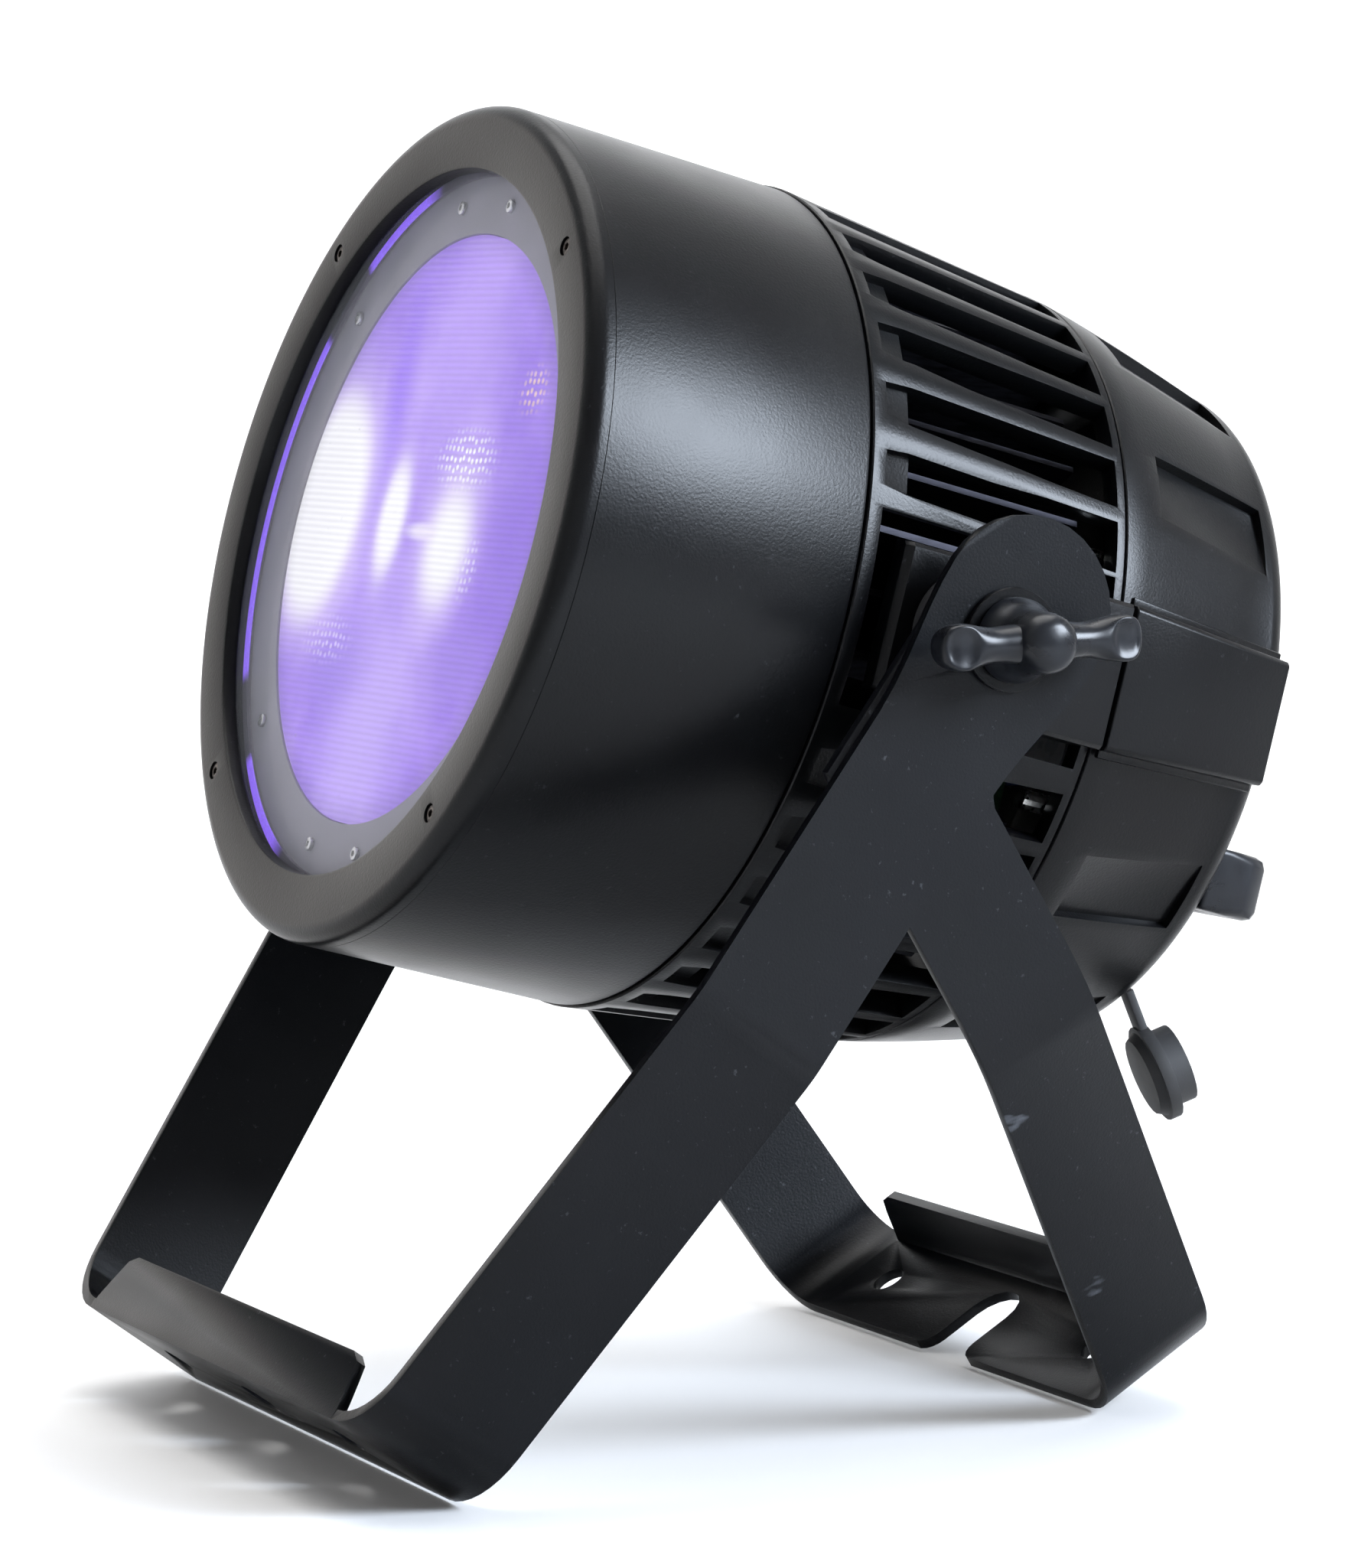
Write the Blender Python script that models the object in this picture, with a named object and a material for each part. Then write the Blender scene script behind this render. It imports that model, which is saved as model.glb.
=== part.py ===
"""LED par can light on a double yoke, built piece by piece.

Metres, +Z up.  X runs along the tilt axis, the lamp looks towards -Y and up.
Head pieces are drawn in the head frame: origin on the tilt axis, -Y forward
along the beam, Z up across it.  Yoke pieces are drawn hanging straight down
from the tilt axis and are swung out to their stand angles.
"""
import math

import bmesh
import bpy
from mathutils import Matrix, Vector

# ---------------------------------------------------------------- dimensions
GAP = 0.0003                 # fitting gap between neighbouring pieces
RUN_GAP = 0.0003             # running gap between moving pieces

HEAD_TILT = 16.5             # beam above the horizontal, degrees
AXIS_DROP = 0.003            # beam axis below the tilt axis

BARREL_R = 0.120             # outside radius of the front barrel
BARREL_WALL = 0.0045
BARREL_FRONT = 0.1241        # front face, ahead of the tilt axis
BARREL_REAR = 0.0383
BEZEL_DEPTH = 0.0070
BEZEL_ROUND = 0.0055
BEZEL_OPEN_R = 0.1008
BEZEL_SCREW_R = 0.1095
BEZEL_SCREW_HEAD = 0.0026
GLASS_T = 0.0030
GLASS_SET = 0.0045           # glass face behind the bezel face
GLASS_LAP = 0.0030           # glass under the bezel lip
GASKET_T = 0.0012
MASK_T = 0.0020
LENS_R = 0.0844
LENS_T = 0.0030
MASK_SCREW_R = 0.0935
MASK_SCREW_HEAD = 0.0020
RETAINER_T = 0.0040
REFLECTOR_EXIT = 0.0800
REFLECTOR_THROAT = 0.0300
REFLECTOR_WALL = 0.0012
LED_R = 0.0270
LED_BOARD_R = 0.0500
SPREADER_R = 0.1000
SPREADER_T = 0.0060

CAGE_FRONT_R = 0.1205        # ribbed cage, tapering to the rear
CAGE_REAR_R = 0.1122
CAGE_REAR = -0.0493
CAGE_RIB = 0.0065            # depth of a rib
SLOT_PITCH = 10.0            # degrees
SLOT_WIDTH = 7.0
SLOT_FRONT = 0.0335
SLOT_LAND = 0.0090           # shallow step at the front of each slot
SLOT_REAR = -0.0462
LAND_DEPTH = 0.0028
SIDE_WINDOW = 13.5           # half angle of the side window in the cage

SINK_R = 0.1015
SINK_CORE_R = 0.0480
SINK_REAR = -0.0400
FIN_COUNT = 36
FIN_T = 0.0018

COVER_REAR = -0.1150
COVER_REAR_R = 0.0975
COVER_ROUND = 0.0080
COVER_WALL = 0.0040
COVER_LIP_R = 0.0800         # opening round the rear panel
VENT_STEP = 31.5             # degrees between the side vents
VENT_HALF = 5.0
VENT_FRONT = -0.0630
VENT_REAR = -0.1060
VENT_DEEP = 0.0030
VENT_SHALLOW = 0.0004

ARM_HALF = 0.0204            # half height of the pivot arm
ARM_FACE = 0.1180            # outer face of the arm, from the middle
ARM_FRONT = 0.0240
BLOCK_FRONT_X = 0.1185
BLOCK_REAR_X = 0.1078
BLOCK_REAR = -0.1085
BLOCK_REAR_HALF = 0.0178
BLOCK_PAD = 0.0022

STRIP_T = 0.0030             # yoke sheet
FRONT_YOKE_X = 0.1400        # outer face of the front yoke
FRONT_ANGLE = 52.1           # below the horizontal
FRONT_LENGTH = 0.2669        # tilt axis to the foot plate
FRONT_WIDTH = 0.0415
FRONT_BEND = 0.1258
FRONT_FOOT_X = 0.1094        # outer half width at the foot
FRONT_LIP = 0.0190
FRONT_LIP_X = 0.0860
HEAD_R = 0.0262              # rounded top of the front yoke
HEAD_RISE = 0.0085           # its centre above the tilt axis
HEAD_FLARE = 0.0370
REAR_ANGLE = 60.4
REAR_WIDTH = 0.0378
REAR_OFFSET = 0.0441         # rear leg ahead of the tilt axis
REAR_BEND = 0.0940
REAR_FOOT_X = 0.0994
REAR_LIP = 0.0215
REAR_LIP_X = 0.0770
REAR_HEAD_R = 0.0225
FOOT_ROUND = 0.0190          # inside of the bend into the foot plate
BOLT_HOLE_R = 0.0052
BOLT_HOLE_X = 0.0625
CLAMP_SLOT = 0.0200
CLAMP_DEPTH = 0.0290
CLAMP_ROUND = 0.0060         # rounding of the slot's mouth
CLAMP_HOLE_R = 0.0065        # middle hole of the front foot

STUD_R = 0.0040
PAD_R = 0.0180
WASHER_R = 0.0140
WASHER_T = 0.0020
KNOB_HUB_R = 0.0085
KNOB_LENGTH = 0.0235
KNOB_SPAN = 0.0610
KNOB_WING_T = 0.0060

PANEL_SET = 0.0110           # rear panel behind the cover's rear face
PANEL_T = 0.0025
DISPLAY_W = 0.0480
DISPLAY_H = 0.0260
BUTTON_R = 0.0042
BUTTON_PITCH = 0.0170
SOCKET_R = 0.0125
SOCKET_X = (-0.0490, -0.0165, 0.0165, 0.0490)
SOCKET_N = -0.0165           # height of the socket row on the panel
BUTTON_N = 0.0140
DISPLAY_N = 0.0400
HANDLE_X = 0.0780
HANDLE_N = -0.0450
HANDLE_H = 0.0185
HANDLE_REACH = 0.0225
CAP_R = 0.0145
CAP_HANG = 20.0              # the stiff strap holds the cap out by this much
CAP_TWIST = -15.0
CAP_STRAP = 0.0115
STAND_Y = 0.0225             # tilt axis behind the middle of the footprint

SEG = 48                     # facets round the large circles


# ------------------------------------------------------------------- helpers
def clear_scene():
    for obj in list(bpy.data.objects):
        bpy.data.objects.remove(obj, do_unlink=True)


def make_material(name, colour, roughness, metallic):
    mat = bpy.data.materials.new(name)
    mat.use_nodes = True
    shader = mat.node_tree.nodes["Principled BSDF"]
    shader.inputs["Base Color"].default_value = (*colour, 1.0)
    shader.inputs["Roughness"].default_value = roughness
    shader.inputs["Metallic"].default_value = metallic
    return mat


def empty_at(name, location, tilt, twist=0.0):
    obj = bpy.data.objects.new(name, None)
    bpy.context.collection.objects.link(obj)
    obj.location = location
    obj.rotation_euler = (math.radians(tilt), 0.0, math.radians(twist))
    return obj


def finish(name, bm, look, parent, smooth=True, at=(0, 0, 0)):
    bmesh.ops.recalc_face_normals(bm, faces=bm.faces)
    mesh = bpy.data.meshes.new(name)
    bm.to_mesh(mesh)
    bm.free()
    obj = bpy.data.objects.new(name, mesh)
    bpy.context.collection.objects.link(obj)
    colour, roughness, metallic = look
    mesh.materials.append(make_material(name + "_finish", colour, roughness, metallic))
    if smooth:
        mesh.shade_smooth()
        mesh.set_sharp_from_angle(angle=math.radians(32))
    obj.parent = parent
    obj.location = at
    return obj


def lathe(profile, axis="Y", segments=SEG, drop=0.0, centre=(0.0, 0.0)):
    """Turn a closed (position, radius) profile; radius 0 points lie on the axis."""
    bm = bmesh.new()
    rings = []
    for pos, radius in profile:
        if radius <= 0.0:
            rings.append([bm.verts.new(turned(axis, pos, 0.0, 0.0, drop, centre))])
            continue
        ring = []
        for i in range(segments):
            angle = math.tau * i / segments
            ring.append(bm.verts.new(turned(axis, pos, radius, angle, drop, centre)))
        rings.append(ring)
    count = len(rings)
    for k in range(count):
        one, two = rings[k], rings[(k + 1) % count]
        if len(one) == 1 and len(two) == 1:
            continue
        for i in range(segments):
            j = (i + 1) % segments
            if len(one) == 1:
                bm.faces.new((one[0], two[j], two[i]))
            elif len(two) == 1:
                bm.faces.new((one[i], one[j], two[0]))
            else:
                bm.faces.new((one[i], one[j], two[j], two[i]))
    return bm


def turned(axis, pos, radius, angle, drop, centre):
    a = radius * math.cos(angle) + centre[0]
    b = radius * math.sin(angle) + centre[1]
    if axis == "Y":
        return Vector((a, -pos, b - drop))
    return Vector((pos, a, b))


def prism(outline, low, high, axis="X"):
    """Extrude a closed outline of (a, b) pairs along an axis."""
    bm = bmesh.new()
    place = {"X": lambda a, b, h: (h, a, b),
             "Y": lambda a, b, h: (a, h, b),
             "Z": lambda a, b, h: (a, b, h)}[axis]
    lower = [bm.verts.new(place(a, b, low)) for a, b in outline]
    upper = [bm.verts.new(place(a, b, high)) for a, b in outline]
    bm.faces.new(lower)
    bm.faces.new(reversed(upper))
    for i in range(len(outline)):
        j = (i + 1) % len(outline)
        bm.faces.new((lower[i], lower[j], upper[j], upper[i]))
    return bm


def arc(cx, cy, radius, start, end, steps):
    points = []
    for i in range(steps + 1):
        angle = math.radians(start + (end - start) * i / steps)
        points.append((cx + radius * math.cos(angle), cy + radius * math.sin(angle)))
    return points


def round_rect(half_w, half_h, radius, steps=4):
    points = arc(half_w - radius, half_h - radius, radius, 0, 90, steps)
    points += arc(-half_w + radius, half_h - radius, radius, 90, 180, steps)
    points += arc(-half_w + radius, -half_h + radius, radius, 180, 270, steps)
    points += arc(half_w - radius, -half_h + radius, radius, 270, 360, steps)
    return points


def moved(outline, da, db):
    return [(a + da, b + db) for a, b in outline]


def cut(obj, cutters, operation="DIFFERENCE"):
    """Boolean each cutter mesh into the object and keep the result."""
    for k, bm in enumerate(cutters):
        bmesh.ops.recalc_face_normals(bm, faces=bm.faces)
        mesh = bpy.data.meshes.new(obj.name + "_cutter")
        bm.to_mesh(mesh)
        bm.free()
        tool = bpy.data.objects.new("{}_cutter_{}".format(obj.name, k), mesh)
        bpy.context.collection.objects.link(tool)
        tool.parent = obj.parent
        tool.location = obj.location
        tool.hide_render = True
        tool.display_type = "WIRE"
        mod = obj.modifiers.new("cut_{}".format(k), "BOOLEAN")
        mod.operation = operation
        mod.solver = "EXACT"
        mod.object = tool
    return obj


def tube(radius, low, high, axis, segments=24, centre=(0.0, 0.0)):
    points = [(radius * math.cos(math.tau * i / segments) + centre[0],
               radius * math.sin(math.tau * i / segments) + centre[1])
              for i in range(segments)]
    return prism(points, low, high, axis)


def shell(rows, angles, level):
    """Closed wall over a grid of cells.

    Each row holds three (position, radius) pairs: face, recess and inside;
    a cell is 2 for full, 1 for recessed and 0 for open.
    """
    bm = bmesh.new()
    made = {}

    def vert(i, j, depth):
        j %= len(angles)
        key = (i, j, depth)
        if key not in made:
            pos, radius = rows[i][depth](angles[j])
            angle = math.radians(angles[j])
            made[key] = bm.verts.new((radius * math.cos(angle), -pos,
                                      radius * math.sin(angle) - AXIS_DROP))
        return made[key]

    def cell(i, j):
        if i < 0 or i >= len(rows) - 1:
            return 0
        return level(i, j % len(angles))

    for i in range(len(rows) - 1):
        for j in range(len(angles)):
            here = cell(i, j)
            if here == 0:
                continue
            top = 0 if here == 2 else 1
            for depth in (top, 2):
                bm.faces.new((vert(i, j, depth), vert(i, j + 1, depth),
                              vert(i + 1, j + 1, depth), vert(i + 1, j, depth)))
    for i in range(len(rows)):
        for j in range(len(angles)):
            walls(bm, vert, cell(i - 1, j), cell(i, j), (i, j), (i, j + 1))
    for i in range(len(rows) - 1):
        for j in range(len(angles)):
            walls(bm, vert, cell(i, j - 1), cell(i, j), (i, j), (i + 1, j))
    return bm


def walls(bm, vert, one, two, start, end):
    low, high = min(one, two), max(one, two)
    for step in range(low, high):
        inner, outer = 2 - step, 1 - step
        bm.faces.new((vert(*start, inner), vert(*end, inner),
                      vert(*end, outer), vert(*start, outer)))


BLACK = ((0.018, 0.019, 0.021), 0.42, 0.0)
CASTING = ((0.030, 0.031, 0.034), 0.45, 0.0)
RUBBER = ((0.012, 0.012, 0.013), 0.75, 0.0)
STEEL = ((0.55, 0.55, 0.54), 0.32, 1.0)
ALLOY = ((0.32, 0.33, 0.35), 0.40, 1.0)


# -------------------------------------------------------- stand and head frames
def foot_height():
    lean = math.radians(FRONT_ANGLE)
    return FRONT_LENGTH * math.sin(lean) + FRONT_WIDTH / 2 * math.cos(lean)


def rear_length():
    """Length that puts the rear foot on the same floor as the front one."""
    lean = math.radians(REAR_ANGLE)
    inner = REAR_OFFSET + REAR_WIDTH / 2
    return (foot_height() - inner * math.cos(lean)) / math.sin(lean)


# ------------------------------------------------------------ front of the head
def build_front(head):
    bezel = finish("front_bezel", lathe(bezel_outline(), drop=AXIS_DROP), BLACK, head)
    holes = []
    for k in range(4):
        angle = math.radians(45 + 90 * k)
        centre = (BEZEL_SCREW_R * math.cos(angle), BEZEL_SCREW_R * math.sin(angle) - AXIS_DROP)
        low, high = -BARREL_FRONT - 0.001, -BARREL_FRONT + 0.0024
        holes.append(tube(BEZEL_SCREW_HEAD + GAP, low, high, "Y", 12, centre))
        screw = prism_screw(BEZEL_SCREW_HEAD, centre, BARREL_FRONT - 0.0004, 0.0017)
        finish("bezel_screw_{}".format(k + 1), screw, STEEL, head)
    cut(bezel, holes)

    seat = BARREL_FRONT - GLASS_SET
    glass_r = BEZEL_OPEN_R + GLASS_LAP
    glass = [(seat, 0.0), (seat, glass_r - 0.0005), (seat - 0.0005, glass_r),
             (seat - GLASS_T, glass_r), (seat - GLASS_T, 0.0)]
    finish("front_glass", lathe(glass, drop=AXIS_DROP), ((0.8, 0.85, 0.9), 0.05, 0.0), head)

    front = seat - GLASS_T - GAP
    ring = [(front, BEZEL_OPEN_R), (front, glass_r), (front - GASKET_T, glass_r),
            (front - GASKET_T, BEZEL_OPEN_R)]
    finish("glass_gasket", lathe(ring, drop=AXIS_DROP), RUBBER, head)

    front = front - GASKET_T - GAP
    mask = [(front, LENS_R + GAP), (front, glass_r), (front - MASK_T, glass_r),
            (front - MASK_T, LENS_R + GAP)]
    plate = finish("mask_ring", lathe(mask, drop=AXIS_DROP), ((0.10, 0.10, 0.11), 0.5, 0.0), head)
    holes = []
    for k, degrees in enumerate((40, 80, 100, 140, 220, 260, 280, 320)):
        angle = math.radians(degrees)
        centre = (MASK_SCREW_R * math.cos(angle), MASK_SCREW_R * math.sin(angle) - AXIS_DROP)
        holes.append(tube(MASK_SCREW_HEAD / 2 + GAP, -front - 0.001, -front + MASK_T + 0.001,
                          "Y", 10, centre))
        screw = mask_screw(centre, front)
        finish("mask_screw_{}".format(k + 1), screw, STEEL, head)
    cut(plate, holes)

    lens = [(front + 0.0003, 0.0), (front + 0.0003, LENS_R - 0.002), (front - 0.0007, LENS_R),
            (front - LENS_T, LENS_R), (front - LENS_T, 0.0)]
    finish("diffuser_lens", lathe(lens, drop=AXIS_DROP), ((0.45, 0.35, 0.9), 0.35, 0.0), head)

    back = front - LENS_T - GAP
    retainer = [(back, REFLECTOR_EXIT + 0.0015), (back, glass_r), (back - RETAINER_T, glass_r),
                (back - RETAINER_T, REFLECTOR_EXIT + 0.0015)]
    finish("lens_retainer", lathe(retainer, drop=AXIS_DROP), CASTING, head)
    return back


def bezel_outline():
    rear = BARREL_FRONT - BEZEL_DEPTH
    glass_r = BEZEL_OPEN_R + GLASS_LAP + 2 * GAP
    seat = BARREL_FRONT - GLASS_SET + GAP
    points = [(seat, glass_r), (seat, BEZEL_OPEN_R)]
    points += [(BARREL_FRONT - 0.0008, BEZEL_OPEN_R), (BARREL_FRONT, BEZEL_OPEN_R + 0.0008)]
    rounded = arc(BARREL_FRONT - BEZEL_ROUND, BARREL_R - BEZEL_ROUND, BEZEL_ROUND, 0, 90, 6)
    points += rounded
    points += [(rear, BARREL_R), (rear, glass_r)]
    return points


def prism_screw(radius, centre, top, depth):
    points = [(top, 0.0), (top, radius * 0.8), (top - 0.0004, radius),
              (top - depth, radius), (top - depth, 0.0)]
    return lathe(points, segments=12, centre=centre)


def mask_screw(centre, front):
    head, shank = MASK_SCREW_HEAD, MASK_SCREW_HEAD / 2
    top = front + GAP + 0.0009
    points = [(top, 0.0), (top, head * 0.8), (top - 0.0003, head), (front + GAP, head),
              (front + GAP, shank), (front - MASK_T, shank), (front - MASK_T, 0.0)]
    return lathe(points, segments=10, centre=centre)


def build_barrel(head, back):
    front = BARREL_FRONT - BEZEL_DEPTH - GAP
    glass_r = BEZEL_OPEN_R + GLASS_LAP + 2 * GAP
    step = back - RETAINER_T - GAP
    inner = BARREL_R - BARREL_WALL
    body = [(front, glass_r), (front, BARREL_R), (BARREL_REAR + 0.0008, BARREL_R),
            (BARREL_REAR, BARREL_R - 0.0008), (BARREL_REAR, inner),
            (step - 0.0060, inner), (step - 0.0040, glass_r - 0.006),
            (step, glass_r - 0.006), (step, glass_r)]
    finish("front_barrel", lathe(body, drop=AXIS_DROP), BLACK, head)

    exit_pos = back - 0.0006
    throat_pos = BARREL_REAR + 0.0080
    wall = REFLECTOR_WALL
    cone = [(exit_pos, REFLECTOR_EXIT - wall), (exit_pos, REFLECTOR_EXIT),
            (throat_pos, REFLECTOR_THROAT + wall), (throat_pos, REFLECTOR_THROAT)]
    finish("mixing_reflector", lathe(cone, drop=AXIS_DROP, segments=48),
           ((0.8, 0.8, 0.8), 0.15, 1.0), head)

    board_face = throat_pos - 0.0030
    chips = [(board_face + 0.0028, 0.0), (board_face + 0.0028, LED_R), (board_face + GAP, LED_R),
             (board_face + GAP, 0.0)]
    finish("led_array", lathe(chips, drop=AXIS_DROP, segments=32),
           ((0.9, 0.75, 0.2), 0.4, 0.0), head)
    board = [(board_face, 0.0), (board_face, LED_BOARD_R), (board_face - 0.0020, LED_BOARD_R),
             (board_face - 0.0020, 0.0)]
    finish("led_board", lathe(board, drop=AXIS_DROP, segments=32),
           ((0.85, 0.85, 0.82), 0.5, 0.0), head)
    face = board_face - 0.0020 - GAP
    plate = [(face, 0.0), (face, SPREADER_R), (face - SPREADER_T, SPREADER_R),
             (face - SPREADER_T, 0.0)]
    finish("heat_spreader", lathe(plate, drop=AXIS_DROP), ALLOY, head)
    return face - SPREADER_T - GAP


# --------------------------------------------------- heat sink, cage, rear cover
def build_heat_sink(head, front):
    outline = []
    pitch = 360.0 / FIN_COUNT
    half_tip = math.degrees(FIN_T / 2 / SINK_R)
    half_root = math.degrees(FIN_T / 2 / SINK_CORE_R) * 1.25
    for k in range(FIN_COUNT):
        middle = k * pitch + pitch / 2
        for offset, radius in ((-half_root, SINK_CORE_R), (-half_tip, SINK_R),
                               (half_tip, SINK_R), (half_root, SINK_CORE_R)):
            angle = math.radians(middle + offset)
            outline.append((radius * math.cos(angle), radius * math.sin(angle) - AXIS_DROP))
    bm = prism(outline, -front, -SINK_REAR, "Y")
    finish("heat_sink", bm, ((0.05, 0.05, 0.055), 0.5, 0.6), head, smooth=False)


def cage_radius(pos):
    share = (pos - BARREL_REAR) / (CAGE_REAR - BARREL_REAR)
    return CAGE_FRONT_R + (CAGE_REAR_R - CAGE_FRONT_R) * share


def build_cage(head):
    stops = [BARREL_REAR - GAP, SLOT_FRONT, SLOT_FRONT - SLOT_LAND, SLOT_REAR, CAGE_REAR]
    rows = []
    for pos in stops:
        outer = cage_radius(pos)
        rows.append((lambda a, p=pos, r=outer: (p, r),
                     lambda a, p=pos, r=outer: (p, r - LAND_DEPTH),
                     lambda a, p=pos, r=outer: (p, r - CAGE_RIB)))
    half = SLOT_WIDTH / 2
    angles = []
    for k in range(round(360 / SLOT_PITCH)):
        middle = k * SLOT_PITCH
        angles += [middle - half, middle + half]

    def level(i, j):
        in_slot = j % 2 == 0
        if i in (0, 3):
            return 2
        middle = (j + (0 if in_slot else 1)) // 2 * SLOT_PITCH
        if not in_slot:
            middle -= SLOT_PITCH / 2
        aside = abs((middle + 90) % 180 - 90)
        if aside < SIDE_WINDOW:
            return 0
        if not in_slot:
            return 2
        return 1 if i == 1 else 0

    finish("vented_cage", shell(rows, angles, level), CASTING, head)


def cover_radius(pos):
    share = (pos - CAGE_REAR) / (COVER_REAR + COVER_ROUND - CAGE_REAR)
    front = CAGE_REAR_R
    return front + (COVER_REAR_R + 0.0015 - front) * share ** 1.15


def vent_middles():
    lift = math.degrees(AXIS_DROP / CAGE_REAR_R)
    first = [lift + VENT_STEP, lift + 2 * VENT_STEP, lift - VENT_STEP, lift - 2 * VENT_STEP]
    return first + [180 - angle for angle in first]


def build_cover(head):
    stops = [CAGE_REAR - GAP, VENT_FRONT, (VENT_FRONT + VENT_REAR) / 2, VENT_REAR]
    middles = [angle % 360 for angle in vent_middles()]
    edges = {}
    for middle in middles:
        for offset in (-VENT_HALF, 0.0, VENT_HALF):
            edges[round((middle + offset) % 360, 4)] = True
    for k in range(45):
        angle = k * 8.0 + 1.6
        near = min(abs((angle - other + 180) % 360 - 180) for other in edges)
        if near > 2.4:
            edges[angle] = False
    angles = sorted(edges)

    def vent_depth(angle):
        for middle in middles:
            offset = (angle - middle + 180) % 360 - 180
            if abs(offset) <= VENT_HALF + 0.01:
                upward = 1 if middle < 180 else -1
                leftward = 1 if math.cos(math.radians(middle)) > 0 else -1
                share = 0.5 + offset * upward * leftward / VENT_HALF / 2
                return VENT_SHALLOW + (VENT_DEEP - VENT_SHALLOW) * share
        return VENT_SHALLOW

    rows = []
    for pos in stops:
        outer = cover_radius(pos)
        rows.append((lambda a, p=pos, r=outer: (p, r),
                     lambda a, p=pos, r=outer: (p, r - vent_depth(a)),
                     lambda a, p=pos, r=outer: (p, r - COVER_WALL)))
    corner = cover_radius(COVER_REAR + COVER_ROUND)
    centre = (COVER_REAR + COVER_ROUND, corner - COVER_ROUND)
    for degrees in (0, 30, 60, 90):
        angle = math.radians(degrees)
        out = (centre[0] - COVER_ROUND * math.sin(angle),
               centre[1] + COVER_ROUND * math.cos(angle))
        deep = COVER_ROUND - COVER_WALL
        inside = (centre[0] - deep * math.sin(angle), centre[1] + deep * math.cos(angle))
        rows.append((lambda a, q=out: q, lambda a, q=out, p=inside: ((q[0] + p[0]) / 2,
                                                                     (q[1] + p[1]) / 2),
                     lambda a, q=inside: q))
    face = COVER_REAR
    lip = COVER_LIP_R
    rows.append((lambda a: (face, lip), lambda a: (face + 0.002, lip),
                 lambda a: (face + COVER_WALL, lip)))

    def level(i, j):
        if i not in (1, 2):
            return 2
        start = angles[j]
        end = angles[(j + 1) % len(angles)]
        middle = (start + ((end - start) % 360) / 2) % 360
        for vent in middles:
            if abs((middle - vent + 180) % 360 - 180) < VENT_HALF:
                return 1
        return 2

    finish("rear_cover", shell(rows, angles, level), CASTING, head)


# ----------------------------------------------------- side arms and cover blocks
def build_sides(head):
    for side, label in ((1, "right"), (-1, "left")):
        inner = SINK_R + 0.0030
        over = CAGE_REAR_R + 0.0012
        outline = [(-ARM_FRONT + 0.006, inner), (-ARM_FRONT, inner + 0.006),
                   (-ARM_FRONT, ARM_FACE - 0.002), (-ARM_FRONT + 0.002, ARM_FACE),
                   (-CAGE_REAR - 0.0006, ARM_FACE), (-CAGE_REAR - 0.0006, over),
                   (-SLOT_REAR - 0.0008, over), (-SLOT_REAR - 0.0008, inner)]
        bm = bmesh.new()
        chamfer = 0.0012
        rings = []
        for height, inset in ((-ARM_HALF, chamfer), (-ARM_HALF + chamfer, 0.0),
                              (ARM_HALF - chamfer, 0.0), (ARM_HALF, chamfer)):
            ring = []
            for y, x in outline:
                x_in = x - inset if x > ARM_FACE - 0.0025 else x
                ring.append(bm.verts.new((side * x_in, y, height)))
            rings.append(ring)
        bm.faces.new(rings[0])
        bm.faces.new(reversed(rings[-1]))
        for one, two in zip(rings, rings[1:]):
            for i in range(len(one)):
                j = (i + 1) % len(one)
                bm.faces.new((one[i], one[j], two[j], two[i]))
        arm = finish("pivot_arm_" + label, bm, BLACK, head)
        low, high = sorted((side * (ARM_FACE - 0.0115), side * (ARM_FACE + 0.002)))
        cut(arm, [tube(STUD_R + GAP, low, high, "X", 24)])
        build_block(head, side, label)


def build_block(head, side, label):
    front = CAGE_REAR - GAP - 0.0003
    sections = []
    for pos, face, half in ((front, BLOCK_FRONT_X, ARM_HALF),
                            (BLOCK_REAR, BLOCK_REAR_X, BLOCK_REAR_HALF)):
        base = cover_radius(pos) + 2 * GAP
        if pos == BLOCK_REAR:
            base += 0.0006
        pad = base + BLOCK_PAD
        wide = half + 0.0022
        edge = 0.0012
        sections.append([(-pos, (base, -wide)), (-pos, (pad, -wide)), (-pos, (pad, -half)),
                         (-pos, (face - edge, -half)), (-pos, (face, -half + edge)),
                         (-pos, (face, half - edge)), (-pos, (face - edge, half)),
                         (-pos, (pad, half)), (-pos, (pad, wide)), (-pos, (base, wide))])
    bm = bmesh.new()
    rings = []
    for section in sections:
        rings.append([bm.verts.new((side * x, y, z)) for y, (x, z) in section])
    bm.faces.new(rings[0])
    bm.faces.new(reversed(rings[1]))
    count = len(rings[0])
    for i in range(count):
        j = (i + 1) % count
        bm.faces.new((rings[0][i], rings[0][j], rings[1][j], rings[1][i]))
    finish("cover_block_" + label, bm, BLACK, head, smooth=False)


# -------------------------------------------------------------------- yokes
def ribbon(stations, width_at, side_sign):
    """Bent strip: stations are (x, drop, normal_x, normal_z, along)."""
    bm = bmesh.new()
    rings = []
    for x, z, nx, nz, along in stations:
        low, high = width_at(along)
        ring = []
        for depth, y in ((0.0, low), (0.0, high), (STRIP_T, high), (STRIP_T, low)):
            ring.append(bm.verts.new((x - nx * depth, side_sign * y, z - nz * depth)))
        rings.append(ring)
    bm.faces.new(rings[0])
    bm.faces.new(reversed(rings[-1]))
    for one, two in zip(rings, rings[1:]):
        for i in range(4):
            j = (i + 1) % 4
            bm.faces.new((one[i], one[j], two[j], two[i]))
    return bm


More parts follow.
